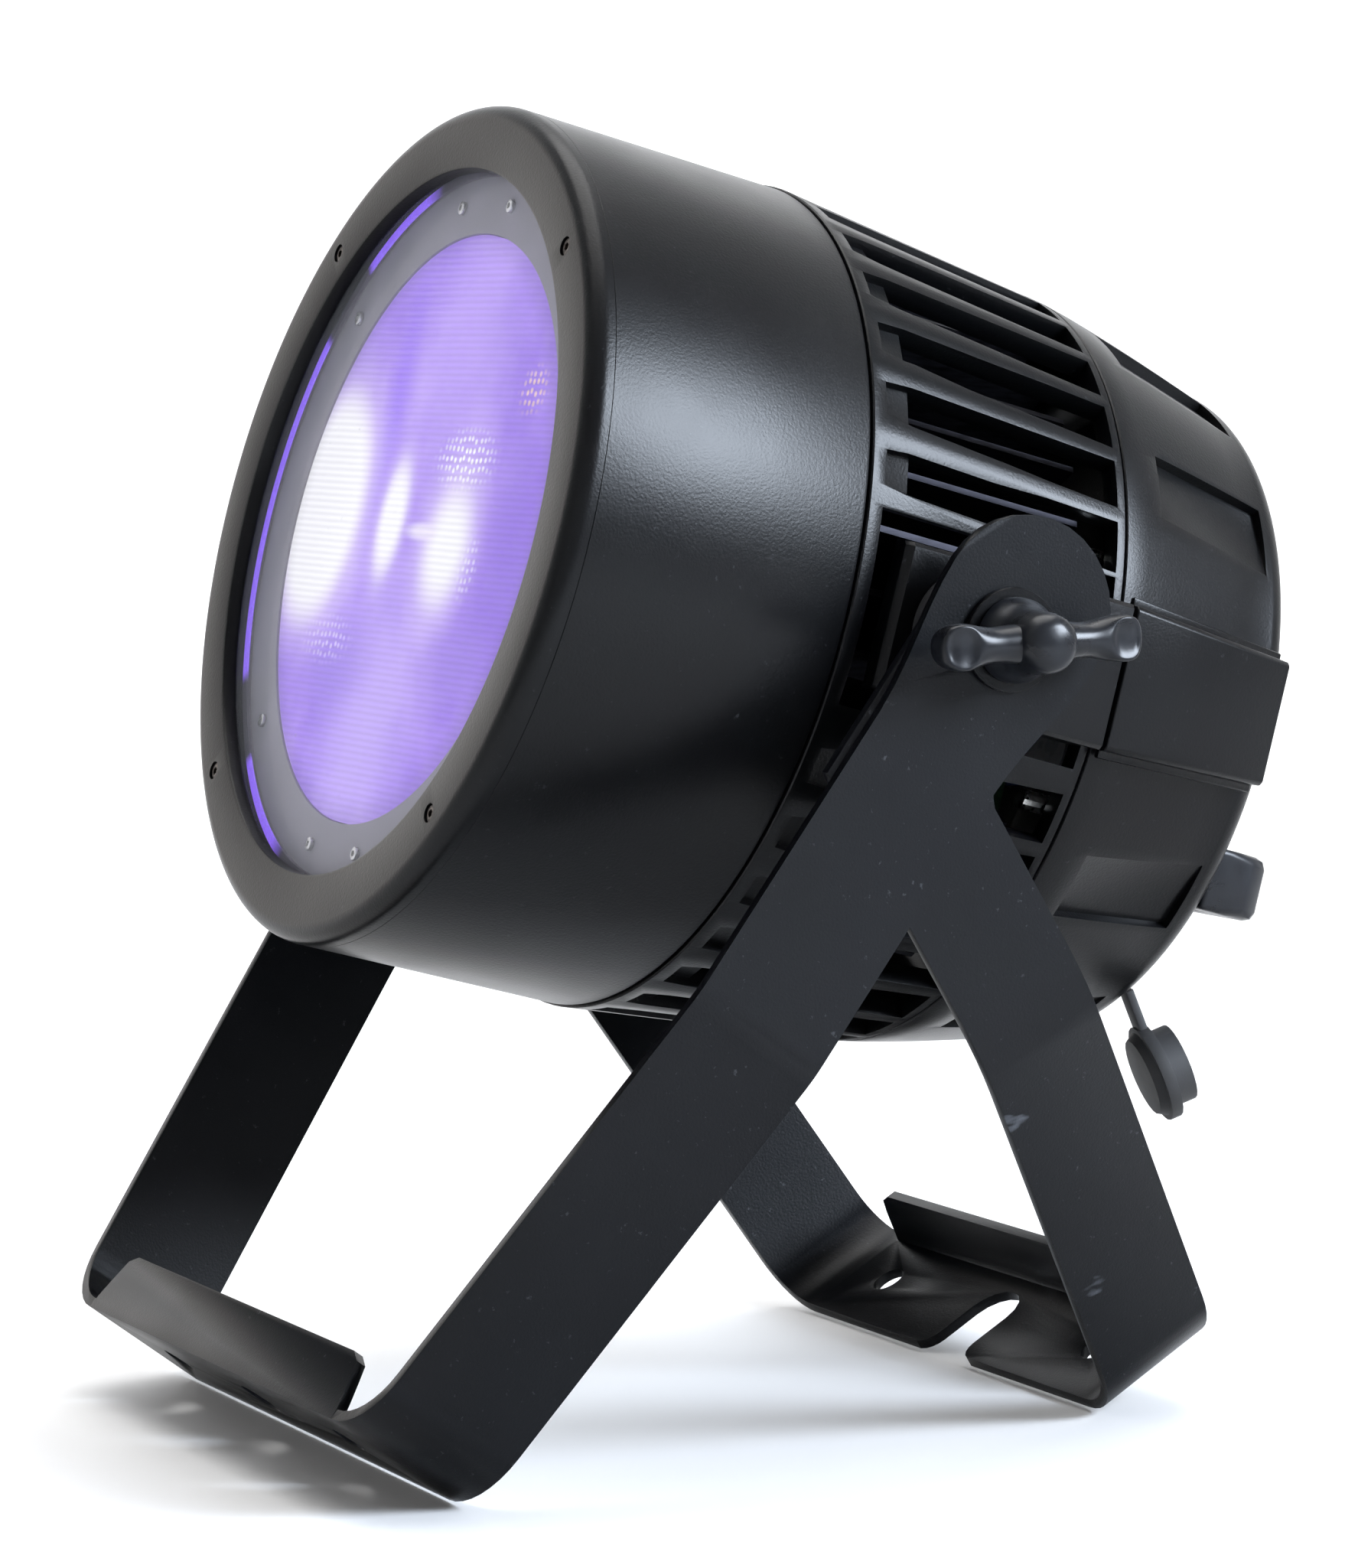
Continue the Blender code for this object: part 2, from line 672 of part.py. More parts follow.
def leg_stations(face_x, foot_x, bend, length, drops, bend_zone):
    """Half of a yoke's outer face from the top of one side to the foot middle."""
    slope = (face_x - foot_x) / (length - bend)
    lean = math.atan(slope)
    half = math.tan(lean / 2)
    stations = []
    for drop in drops:
        if drop < bend - bend_zone:
            stations.append((face_x, -drop, 1.0, 0.0, drop))
    for k in range(5):
        share = k / 4
        turn = lean * share
        drop = bend + bend_zone * (2 * share - 1)
        ease = bend_zone * half * (share ** 2) * 2
        stations.append((face_x - ease, -drop, math.cos(turn), -math.sin(turn), drop))
    outer_r = FOOT_ROUND + STRIP_T
    turn = math.pi / 2 - lean
    reach = outer_r * math.tan(turn / 2)
    corner_x = face_x - slope * (length - bend)
    start = (corner_x + reach * math.sin(lean), -(length - reach * math.cos(lean)))
    centre = (start[0] - outer_r * math.cos(lean), start[1] + outer_r * math.sin(lean))
    for k in range(9):
        angle = -lean - turn * k / 8
        nx, nz = math.cos(angle), math.sin(angle)
        stations.append((centre[0] + outer_r * nx, centre[1] + outer_r * nz, nx, nz,
                         -(centre[1] + outer_r * nz)))
    return stations


def whole_yoke(half):
    mirrored = [(-x, z, -nx, nz, along) for x, z, nx, nz, along in reversed(half)]
    return half + mirrored


def build_front_yoke(parent):
    half_w = FRONT_WIDTH / 2

    def width_at(drop):
        centre = -HEAD_RISE
        if drop < centre:
            rise = min(centre - drop, HEAD_R)
            half = math.sqrt(max(HEAD_R ** 2 - rise ** 2, 0.0))
        elif drop < HEAD_FLARE:
            share = (drop - centre) / (HEAD_FLARE - centre)
            ease = share * share * (3 - 2 * share)
            half = HEAD_R + (half_w - HEAD_R) * ease
        else:
            half = half_w
        return -half, half

    drops = [-HEAD_RISE - HEAD_R * math.sin(math.radians(a))
             for a in (84, 72, 60, 48, 36, 24, 12, 0)]
    drops += [-HEAD_RISE + (HEAD_FLARE + HEAD_RISE) * k / 6 for k in range(1, 7)]
    half = leg_stations(FRONT_YOKE_X, FRONT_FOOT_X, FRONT_BEND, FRONT_LENGTH, drops, 0.004)
    yoke = finish("front_yoke", ribbon(whole_yoke(half), width_at, -1), BLACK, parent)
    finish_yoke(yoke, FRONT_LENGTH, half_w, 0.0, FRONT_LIP, FRONT_LIP_X, -1,
                FRONT_YOKE_X, False)


def build_rear_yoke(parent):
    half_w = REAR_WIDTH / 2
    face = FRONT_YOKE_X - STRIP_T - RUN_GAP
    length = rear_length()
    swing = math.radians(180 - FRONT_ANGLE - REAR_ANGLE)
    half = leg_stations(face, REAR_FOOT_X, REAR_BEND, length, [0.052], 0.012)

    def width_at(drop):
        return -REAR_OFFSET - half_w, -REAR_OFFSET + half_w

    yoke = finish("rear_yoke", ribbon(whole_yoke(half), width_at, 1), BLACK, parent)
    # the cranked head plate runs down behind the front leg, then joins the strip
    along = Vector((-math.sin(swing), -math.cos(swing)))
    across = Vector((math.cos(swing), -math.sin(swing)))
    radius = REAR_HEAD_R
    inset = FRONT_WIDTH / 2 - 0.001
    outline = []
    for k in range(13):
        angle = math.pi * k / 12
        point = across * radius * math.cos(angle) - along * radius * math.sin(angle)
        outline.append((point.x, point.y))
    left = -REAR_OFFSET - half_w
    right = -REAR_OFFSET + half_w
    reach = (left + inset * across.x) / along.x
    corner = along * reach - across * inset
    outline.append((corner.x + 0.0004, corner.y + 0.003))
    outline.append((left, corner.y - 0.004))
    outline.append((left, -0.0560))
    outline.append((right, -0.0560))
    outline.append((right, -0.0375))
    outline.append((right + 0.0012, -0.0345))
    outline.append((right + 0.0040, -0.0318))
    tools = []
    for side in (1, -1):
        low, high = sorted((side * face, side * (face - STRIP_T)))
        tools.append(prism(outline, low, high, "X"))
    cut(yoke, tools, "UNION")
    finish_yoke(yoke, length, half_w, -REAR_OFFSET, REAR_LIP, REAR_LIP_X, 1, face, True)


def finish_yoke(yoke, length, half_w, middle, lip, lip_x, sign, face, clamp):
    """Add the turned-up lip, then cut the pivot, bolt and clamp openings."""
    edge = middle + half_w
    base = -length
    outline = []
    for side in (1, -1):
        points = [(side * (lip_x + 0.0045), base + 0.0001),
                  (side * (lip_x + 0.0045), base + 0.0030),
                  (side * (lip_x + 0.0035), base + 0.0060),
                  (side * (lip_x + 0.0010), base + lip - 0.0070),
                  (side * (lip_x - 0.0012), base + lip - 0.0022),
                  (side * (lip_x - 0.0060), base + lip)]
        outline += points if side > 0 else points[::-1]
    low, high = sorted((sign * (edge - STRIP_T), sign * (edge + 0.00005)))
    cut(yoke, [prism(outline, low, high, "Y")], "UNION")
    holes = []
    for side in (1, -1):
        low, high = sorted((side * (face + 0.002), side * (face - STRIP_T - 0.002)))
        holes.append(tube(STUD_R + RUN_GAP, low, high, "X", 24))
    for side in (1, -1):
        centre = (side * BOLT_HOLE_X, sign * middle)
        holes.append(tube(BOLT_HOLE_R, base - 0.002, base + STRIP_T + 0.002, "Z", 20, centre))
    mouth = middle - half_w
    if clamp:
        deep = mouth + CLAMP_DEPTH - CLAMP_SLOT / 2
        round_r = CLAMP_ROUND
        lead = arc(CLAMP_SLOT / 2 + round_r, mouth + round_r, round_r, 262, 180, 4)
        slot = [(lead[0][0], mouth - 0.004)] + lead
        slot += arc(0.0, deep, CLAMP_SLOT / 2, 0, 180, 8)
        slot += [(-x, y) for x, y in reversed(lead)] + [(-lead[0][0], mouth - 0.004)]
        slot = [(x, sign * y) for x, y in slot]
        holes.append(prism(slot, base - 0.002, base + STRIP_T + 0.002, "Z"))
    else:
        holes.append(tube(CLAMP_HOLE_R, base - 0.002, base + STRIP_T + 0.002, "Z", 20,
                          (0.0, sign * middle)))
    cut(yoke, holes)


# ----------------------------------------------------------- pivots and knobs
def build_pivots(head, stand):
    for side, label in ((1, "right"), (-1, "left")):
        face = FRONT_YOKE_X - 2 * STRIP_T - 2 * RUN_GAP
        pad = [(side * (ARM_FACE + GAP), STUD_R + GAP), (side * (ARM_FACE + GAP), PAD_R),
               (side * (face - 0.0012), PAD_R), (side * face, PAD_R - 0.0012),
               (side * face, STUD_R + GAP)]
        finish("friction_pad_" + label, lathe(pad, "X", 28), RUBBER, head)
        outer = FRONT_YOKE_X + RUN_GAP
        ring = [(side * outer, STUD_R + GAP), (side * outer, WASHER_R),
                (side * (outer + WASHER_T), WASHER_R), (side * (outer + WASHER_T), STUD_R + GAP)]
        finish("knob_washer_" + label, lathe(ring, "X", 28), STEEL, stand)
        start = outer + WASHER_T + GAP
        build_knob(stand, side, label, start)
        tip = start + 0.0150
        rod = [(side * (ARM_FACE - 0.0110), 0.0), (side * (ARM_FACE - 0.0110), STUD_R - 0.0005),
               (side * (ARM_FACE - 0.0105), STUD_R), (side * tip, STUD_R), (side * tip, 0.0)]
        finish("pivot_stud_" + label, lathe(rod, "X", 16), STEEL, stand)


def build_knob(stand, side, label, start):
    outline = arc(0.0, 0.0, KNOB_HUB_R, 28, 152, 8)
    tip = KNOB_SPAN / 2
    half = KNOB_WING_T / 2
    outline += arc(-tip + half, 0.0, half, 110, 250, 6)
    outline += arc(0.0, 0.0, KNOB_HUB_R, 208, 332, 8)
    outline += arc(tip - half, 0.0, half, -70, 70, 6)
    low, high = sorted((side * (start + 0.0050), side * (start + KNOB_LENGTH - 0.0030)))
    knob = finish("wing_knob_" + label, prism(outline, low, high, "X"), BLACK, stand)
    end = start + KNOB_LENGTH
    hub = [(side * start, 0.0), (side * start, KNOB_HUB_R + 0.0030),
           (side * (start + 0.0045), KNOB_HUB_R + 0.0030), (side * (start + 0.0070), KNOB_HUB_R),
           (side * (end - 0.0015), KNOB_HUB_R), (side * end, KNOB_HUB_R - 0.0015),
           (side * end, 0.0)]
    cut(knob, [lathe(hub, "X", 24)], "UNION")
    low, high = sorted((side * (start - 0.001), side * (start + 0.0155)))
    tool = tube(STUD_R + GAP, low, high, "X", 24)
    add_cut(knob, tool)


def add_cut(obj, bm):
    bmesh.ops.recalc_face_normals(bm, faces=bm.faces)
    mesh = bpy.data.meshes.new(obj.name + "_bore")
    bm.to_mesh(mesh)
    bm.free()
    tool = bpy.data.objects.new(obj.name + "_bore", mesh)
    bpy.context.collection.objects.link(tool)
    tool.parent = obj.parent
    tool.location = obj.location
    tool.hide_render = True
    tool.display_type = "WIRE"
    mod = obj.modifiers.new("bore", "BOOLEAN")
    mod.operation = "DIFFERENCE"
    mod.solver = "EXACT"
    mod.object = tool


# -------------------------------------------------------- inside and rear panel
def build_inside(head):
    low = CAGE_REAR + 0.006
    box = prism(round_rect(0.052, 0.030, 0.003, 2), -low, -low + 0.034, "Y")
    bmesh.ops.translate(box, vec=(0.0, 0.0, 0.026 - AXIS_DROP), verts=box.verts)
    finish("power_supply", box, ALLOY, head, smooth=False)
    board = prism(round_rect(0.060, 0.024, 0.002, 2), -low, -low + 0.0120, "Y")
    bmesh.ops.translate(board, vec=(0.0, 0.0, -0.034 - AXIS_DROP), verts=board.verts)
    finish("driver_board", board, ((0.02, 0.12, 0.05), 0.5, 0.0), head, smooth=False)
    for k, degrees in enumerate((20.0, 160.0, 200.0, 340.0)):
        angle = math.radians(degrees)
        radius = CAGE_REAR_R - CAGE_RIB - 0.0045
        centre = (radius * math.cos(angle), radius * math.sin(angle) - AXIS_DROP)
        post = [(SINK_REAR + 0.0040, 0.0), (SINK_REAR + 0.0040, 0.0028), (CAGE_REAR, 0.0028),
                (CAGE_REAR, 0.0)]
        bm = lathe([(p - 0.0045, r) for p, r in post], segments=12, centre=centre)
        finish("rear_standoff_{}".format(k + 1), bm, STEEL, head)


def build_rear(head, cap_frame):
    panel_face = COVER_REAR + PANEL_SET
    radius = COVER_LIP_R + 0.0080
    disc = [(panel_face, 0.0), (panel_face, radius), (panel_face + PANEL_T, radius),
            (panel_face + PANEL_T, 0.0)]
    panel = finish("rear_panel", lathe(disc, drop=AXIS_DROP, segments=40), BLACK, head)
    through = (-panel_face - PANEL_T - 0.002, -panel_face + 0.002)
    holes = []
    display_n = DISPLAY_N
    opening = moved(round_rect(DISPLAY_W / 2 + GAP, DISPLAY_H / 2 + GAP, 0.002, 3), 0.0, display_n)
    holes.append(prism(opening, *through, "Y"))
    window = moved(round_rect(DISPLAY_W / 2, DISPLAY_H / 2, 0.0018, 3), 0.0, display_n)
    finish("display_window", prism(window, -panel_face - PANEL_T, -panel_face + 0.0010, "Y"),
           ((0.01, 0.02, 0.03), 0.08, 0.0), head, smooth=False)
    for k in range(4):
        x = BUTTON_PITCH * (k - 1.5)
        centre = (x, BUTTON_N)
        holes.append(tube(BUTTON_R + RUN_GAP, *through, "Y", 14, centre))
        flange = panel_face + PANEL_T + 0.0016
        points = [(flange + 0.0012, 0.0), (flange + 0.0012, BUTTON_R + 0.0014),
                  (flange, BUTTON_R + 0.0014), (flange, BUTTON_R),
                  (panel_face - 0.0018, BUTTON_R), (panel_face - 0.0022, BUTTON_R - 0.0006),
                  (panel_face - 0.0022, 0.0)]
        points = [(p - panel_face, r) for p, r in points]
        finish("menu_button_{}".format(k + 1), lathe(points, segments=14),
               RUBBER, head, at=(x, -panel_face, BUTTON_N))
    names = ("data_in", "power_in", "power_out", "data_out")
    for k, name in enumerate(names):
        centre = (SOCKET_X[k], SOCKET_N)
        holes.append(tube(SOCKET_R + GAP, *through, "Y", 20, centre))
        build_socket(head, name, centre, panel_face)
    cut(panel, holes)
    build_handle(head)
    build_cap(cap_frame)


def build_socket(head, name, centre, face):
    deep = face + 0.0140
    mouth = face - 0.0060
    flange = face - 0.0003
    points = [(deep, 0.0), (deep, SOCKET_R), (flange, SOCKET_R),
              (flange, SOCKET_R + 0.0022), (flange - 0.0024, SOCKET_R + 0.0022),
              (mouth, SOCKET_R + 0.0006), (mouth, SOCKET_R - 0.0022),
              (face + 0.0100, SOCKET_R - 0.0022), (face + 0.0100, 0.0)]
    finish(name, lathe(points, segments=20, centre=centre), RUBBER, head)


def build_handle(head):
    back = COVER_REAR - GAP
    reach = COVER_REAR - HANDLE_REACH
    half = HANDLE_H / 2
    bar = 0.0085
    outline = []
    for side in (1, -1):
        points = [(side * (HANDLE_X - 0.0150), -reach - bar), (side * (HANDLE_X - 0.0120), -back),
                  (side * (HANDLE_X + 0.0020), -back), (side * (HANDLE_X + 0.0020), -reach - 0.0080),
                  (side * HANDLE_X, -reach - 0.0030), (side * (HANDLE_X - 0.0040), -reach)]
        outline += points if side > 0 else points[::-1]
    bm = prism(outline, HANDLE_N - half, HANDLE_N + half, "Z")
    edges = [edge for edge in bm.edges
             if abs(edge.verts[0].co.z - edge.verts[1].co.z) < 1e-6
             and min(edge.verts[0].co.y, edge.verts[1].co.y) > -back + 0.004]
    bmesh.ops.bevel(bm, geom=edges, offset=0.0030, segments=2, profile=0.5, affect="EDGES")
    finish("rear_handle", bm, CASTING, head)


def build_cap(frame):
    """Sealing cap hanging on its strap, drawn below its hinge line."""
    length = CAP_STRAP
    strap = prism(round_rect(0.0040, 0.0013, 0.0006, 2), -length, 0.0020, "Z")
    obj = finish("socket_cap", strap, RUBBER, frame)
    disc = [(0.0045, 0.0), (0.0045, CAP_R - 0.0030), (0.0020, CAP_R - 0.0015),
            (0.0020, CAP_R), (-0.0015, CAP_R), (-0.0015, CAP_R - 0.0030),
            (-0.0075, CAP_R - 0.0030), (-0.0075, 0.0)]
    bm = lathe(disc, segments=24, centre=(0.0, -length - CAP_R + 0.0020))
    cut(obj, [bm], "UNION")


def build():
    clear_scene()
    axis_height = foot_height()
    axis = (0.0, STAND_Y, axis_height)
    head = empty_at("head_pivot", axis, -HEAD_TILT)
    front_frame = empty_at("front_yoke_pivot", axis, -(90.0 - FRONT_ANGLE))
    rear_frame = empty_at("rear_yoke_pivot", axis, 90.0 - REAR_ANGLE)
    knob_frame = empty_at("knob_pivot", axis, 0.0)
    back = build_front(head)
    sink_face = build_barrel(head, back)
    build_heat_sink(head, sink_face)
    build_cage(head)
    build_cover(head)
    build_sides(head)
    build_inside(head)
    tilt = math.radians(HEAD_TILT)
    cap_y = -COVER_REAR + 0.0030
    cap_n = -(COVER_REAR_R - 0.0150)
    where = (SOCKET_X[3], STAND_Y + cap_y * math.cos(tilt) + cap_n * math.sin(tilt),
             axis_height - cap_y * math.sin(tilt) + cap_n * math.cos(tilt))
    cap_frame = empty_at("socket_cap_hinge", where, CAP_HANG, CAP_TWIST)
    build_rear(head, cap_frame)
    build_front_yoke(front_frame)
    build_rear_yoke(rear_frame)
    build_pivots(head, knob_frame)


build()
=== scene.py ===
import math

import bmesh
import bpy
from mathutils import Matrix, Vector


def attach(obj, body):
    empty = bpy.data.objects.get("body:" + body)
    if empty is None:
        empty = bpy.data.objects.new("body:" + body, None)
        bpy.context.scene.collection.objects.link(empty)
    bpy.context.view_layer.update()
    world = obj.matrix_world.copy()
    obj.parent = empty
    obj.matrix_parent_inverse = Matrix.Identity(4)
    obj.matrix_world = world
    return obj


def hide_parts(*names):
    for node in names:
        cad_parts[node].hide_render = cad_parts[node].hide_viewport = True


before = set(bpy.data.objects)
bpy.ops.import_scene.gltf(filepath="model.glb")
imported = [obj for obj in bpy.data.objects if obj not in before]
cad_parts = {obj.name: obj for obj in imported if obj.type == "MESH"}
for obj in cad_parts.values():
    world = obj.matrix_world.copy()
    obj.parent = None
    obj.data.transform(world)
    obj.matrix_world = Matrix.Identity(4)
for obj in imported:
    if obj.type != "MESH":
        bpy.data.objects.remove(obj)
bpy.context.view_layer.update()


# ---------------------------------------------------------------- front barrel
# Plain round housing, cast aluminium turned on the outside and powder coated
# satin black.  The bezel screws to its front and the ribbed cage to its rear.
HERE = bpy.context
PIVOT = Vector((0.0, 0.0225, 0.22335))       # where the tilt axis crosses the middle
TILT = math.radians(16.5)
HEAD = Matrix.Translation(PIVOT) @ Matrix.Rotation(-TILT, 4, "X")
BEAM = Vector((0.0, 0.0, -0.003))            # beam axis, just below the tilt axis
BARREL_R = 0.120
BARREL_FRONT = 0.11705
BARREL_REAR = 0.0383


def linear(code):
    """sRGB hex code to the linear colour a socket takes."""
    parts = [int(code[i:i + 2], 16) / 255 for i in (1, 3, 5)]
    return [c / 12.92 if c <= 0.04045 else ((c + 0.055) / 1.055) ** 2.4 for c in parts] + [1.0]


def add(mat, kind, links=(), **settings):
    """One node with its settings; links are (input, node, output)."""
    made = mat.node_tree.nodes.new("ShaderNode" + kind)
    values = settings.pop("values", {})
    for key, value in settings.items():
        setattr(made, key, value)
    for key, value in values.items():
        made.inputs[key].default_value = value
    for key, source, output in links:
        mat.node_tree.links.new(source.outputs[output], made.inputs[key])
    return made


def new_material(name, **surface):
    """Material whose uniform values sit on the shader's own sockets."""
    mat = bpy.data.materials.new(name)
    mat.use_nodes = True
    shader = mat.node_tree.nodes["Principled BSDF"]
    for key, value in surface.items():
        key = key.replace("_", " ").title().replace("Ior", "IOR")
        shader.inputs[key].default_value = value
    return mat, shader


def ramp(mat, source, output, stops):
    """Turn a value into a colour or a level; stops are (place, hex or number)."""
    made = add(mat, "ValToRGB", [("Fac", source, output)])
    bar = made.color_ramp
    while len(bar.elements) < len(stops):
        bar.elements.new(0.5)
    for element, (place, colour) in zip(bar.elements, stops):
        element.position = place
        element.color = linear(colour) if isinstance(colour, str) else (colour, colour, colour, 1)
    return made


def link(mat, source, output, target, key):
    mat.node_tree.links.new(source.outputs[output], target.inputs[key])


def powder_coat(name, dark, light, grain, rough, dust):
    """Baked polyester powder: fine orange peel, a satin sheen and a little dust."""
    mat, shader = new_material(name, specular_ior_level=0.14)
    where = add(mat, "TexCoord")
    cloudy = add(mat, "TexNoise", [("Vector", where, "Object")],
                 values={"Scale": 14.0, "Detail": 6.0, "Roughness": 0.62})
    tone = ramp(mat, cloudy, "Fac", [(0.34, dark), (0.68, light)])
    specks = add(mat, "TexNoise", [("Vector", where, "Object")],
                 values={"Scale": 420.0, "Detail": 3.0, "Roughness": 0.7})
    dusty = ramp(mat, specks, "Fac", [(0.66, 0.0), (0.74, dust)])
    mixed = add(mat, "Mix", [(0, dusty, "Color"), (6, tone, "Color")],
                data_type="RGBA", values={7: linear("#8a8d92")})
    link(mat, mixed, 2, shader, "Base Color")
    smear = add(mat, "TexNoise", [("Vector", where, "Object")],
                values={"Scale": 26.0, "Detail": 3.0, "Roughness": 0.5})
    sheen = ramp(mat, smear, "Fac", [(0.3, rough - 0.02), (0.72, rough + 0.04)])
    link(mat, sheen, "Color", shader, "Roughness")
    # powder grain: about 0.7 mm from bump to bump
    peel = add(mat, "TexNoise", [("Vector", where, "Object")],
               values={"Scale": 1.0 / grain, "Detail": 2.0, "Roughness": 0.5})
    bump = add(mat, "Bump", [("Height", peel, "Fac")],
               values={"Strength": 0.45, "Distance": 0.00012})
    link(mat, bump, "Normal", shader, "Normal")
    return mat


def trace(name, points, start=BEAM):
    """Start from a tiny plane merged to one point and extrude it along an outline.

    Points are (ahead along the beam, radius); the piece is left in edit mode.
    """
    bpy.ops.object.select_all(action="DESELECT")
    bpy.ops.mesh.primitive_plane_add(size=0.001)
    piece = HERE.object
    piece.name = piece.data.name = name
    bpy.ops.object.mode_set(mode="EDIT")
    bpy.ops.mesh.select_mode(type="VERT")
    bpy.ops.mesh.select_all(action="SELECT")
    bpy.ops.mesh.merge(type="CENTER")
    corners = [start + Vector((radius, -ahead, 0.0)) for ahead, radius in points]
    bpy.ops.transform.translate(value=corners[0])
    for one, two in zip(corners, corners[1:]):
        bpy.ops.mesh.extrude_vertices_move(TRANSFORM_OT_translate={"value": two - one})
    return piece


def turn(piece, steps=192, centre=BEAM, axis=(0, 1, 0)):
    """Spin the traced outline a full turn and close it into a solid skin."""
    bpy.ops.mesh.select_all(action="SELECT")
    bpy.ops.mesh.spin(steps=steps, angle=math.tau, center=centre, axis=axis)
    bpy.ops.mesh.select_all(action="SELECT")
    bpy.ops.mesh.remove_doubles(threshold=0.00001)
    bpy.ops.mesh.normals_make_consistent(inside=False)
    bpy.ops.object.mode_set(mode="OBJECT")
    return piece


def alone(piece):
    """Leave edit mode and make the piece the only one selected."""
    if HERE.object and HERE.object.mode == "EDIT":
        bpy.ops.object.mode_set(mode="OBJECT")
    bpy.ops.object.select_all(action="DESELECT")
    piece.select_set(True)
    HERE.view_layer.objects.active = piece


def apply_modifier(piece, kind, **settings):
    alone(piece)
    mod = piece.modifiers.new(kind.lower(), kind)
    for key, value in settings.items():
        setattr(mod, key, value)
    bpy.ops.object.modifier_apply(modifier=mod.name)


def soften(piece, width, segments=2, angle=35):
    """Break the sharp edges; the narrow new faces take the second material slot."""
    while len(piece.data.materials) < 2:
        piece.data.materials.append(None)
    apply_modifier(piece, "BEVEL", width=width, segments=segments, limit_method="ANGLE",
                   angle_limit=math.radians(angle), use_clamp_overlap=True, material=1)


def finish_piece(piece, mat, body, slot, *nodes, place=HEAD, smooth=30, edge=None):
    """Set the piece in its frame, apply that to the mesh and hand it to its body."""
    alone(piece)
    piece.matrix_world = place @ piece.matrix_world
    bpy.ops.object.transform_apply(location=True, rotation=True, scale=True)
    bpy.ops.object.shade_smooth_by_angle(angle=math.radians(smooth))
    slots = piece.data.materials
    if not slots:
        slots.append(mat)
    slots[0] = mat
    for k in range(1, len(slots)):
        slots[k] = edge or mat
    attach(piece, body)
    if nodes:
        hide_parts(*nodes)
    return piece


cast_coat = powder_coat("powder_coated_cast_aluminium", "#030304", "#060708", 0.0008, 0.30, 0.05)
outline = [(BARREL_FRONT, 0.1044), (BARREL_FRONT, BARREL_R - 0.0002),
           (BARREL_FRONT - 0.0002, BARREL_R), (BARREL_REAR + 0.0012, BARREL_R),
           (BARREL_REAR + 0.0004, BARREL_R - 0.0003), (BARREL_REAR, BARREL_R - 0.0012),
           (BARREL_REAR, 0.1155), (0.1010, 0.1155), (0.1032, 0.0980), (0.1072, 0.0980),
           (0.1072, 0.1044), (BARREL_FRONT, 0.1044)]
barrel = turn(trace("barrel_housing", outline))
finish_piece(barrel, cast_coat, "head", "painted_casting", "front_barrel")


# ----------------------------------------------------------------- front bezel
# Cast ring with a rolled outer edge.  Four small countersunk screws pull it
# down on the glass; its face is coated like the barrel.
BEZEL_FRONT = 0.1241
BEZEL_SCREW_R = 0.1095


def rolled(ahead, radius, size, start, end, steps):
    points = []
    for i in range(steps + 1):
        angle = math.radians(start + (end - start) * i / steps)
        points.append((ahead + size * math.cos(angle), radius + size * math.sin(angle)))
    return points


def around(radius, degrees, ahead):
    angle = math.radians(degrees)
    return BEAM + Vector((radius * math.cos(angle), -ahead, radius * math.sin(angle)))


def rod(name, radius, ahead, behind, centre, segments=24):
    bpy.ops.object.select_all(action="DESELECT")
    bpy.ops.mesh.primitive_cylinder_add(vertices=segments, radius=radius,
                                        depth=ahead - behind, rotation=(math.pi / 2, 0, 0))
    made = HERE.object
    made.name = made.data.name = name
    made.location = Vector((centre.x, -(ahead + behind) / 2, centre.z))
    bpy.ops.object.transform_apply(location=True, rotation=True, scale=True)
    return made


def join(pieces, name):
    alone(pieces[0])
    for piece in pieces:
        piece.select_set(True)
    if len(pieces) > 1:
        bpy.ops.object.join()
    HERE.object.name = HERE.object.data.name = name
    return HERE.object


def carve(piece, tool, operation="DIFFERENCE"):
    apply_modifier(piece, "BOOLEAN", object=tool, operation=operation, solver="EXACT")
    bpy.data.objects.remove(tool, do_unlink=True)


outline = [(0.1200, 0.1044), (0.1200, 0.1008), (BEZEL_FRONT - 0.0009, 0.1008),
           (BEZEL_FRONT - 0.00025, 0.1011), (BEZEL_FRONT, 0.1018)]
outline += rolled(BEZEL_FRONT - 0.0052, BARREL_R - 0.0052, 0.0052, 0, 90, 12)
outline += [(0.1171, BARREL_R), (0.1171, 0.1044), (0.1200, 0.1044)]
bezel = turn(trace("bezel_ring", outline))
holes = [rod("hole", 0.0027, BEZEL_FRONT + 0.001, BEZEL_FRONT - 0.0024,
             around(BEZEL_SCREW_R, 45 + 90 * k, 0)) for k in range(4)]
carve(bezel, join(holes, "holes"))
finish_piece(bezel, cast_coat, "head", "painted_casting", "front_bezel")


# ---------------------------------------------------------------- bezel screws
# M4 countersunk socket screws, black oxide steel, sunk just under the face.
# The oxide leaves a dark brown-black metal that shines on its edges.
def black_oxide(name):
    mat, shader = new_material(name, metallic=1.0)
    where = add(mat, "TexCoord")
    patches = add(mat, "TexNoise", [("Vector", where, "Object")],
                  values={"Scale": 900.0, "Detail": 4.0})
    tone = ramp(mat, patches, "Fac", [(0.3, "#26211e"), (0.7, "#5a5450")])
    link(mat, tone, "Color", shader, "Base Color")
    worn = ramp(mat, patches, "Fac", [(0.3, 0.5), (0.75, 0.3)])
    link(mat, worn, "Color", shader, "Roughness")
    return mat


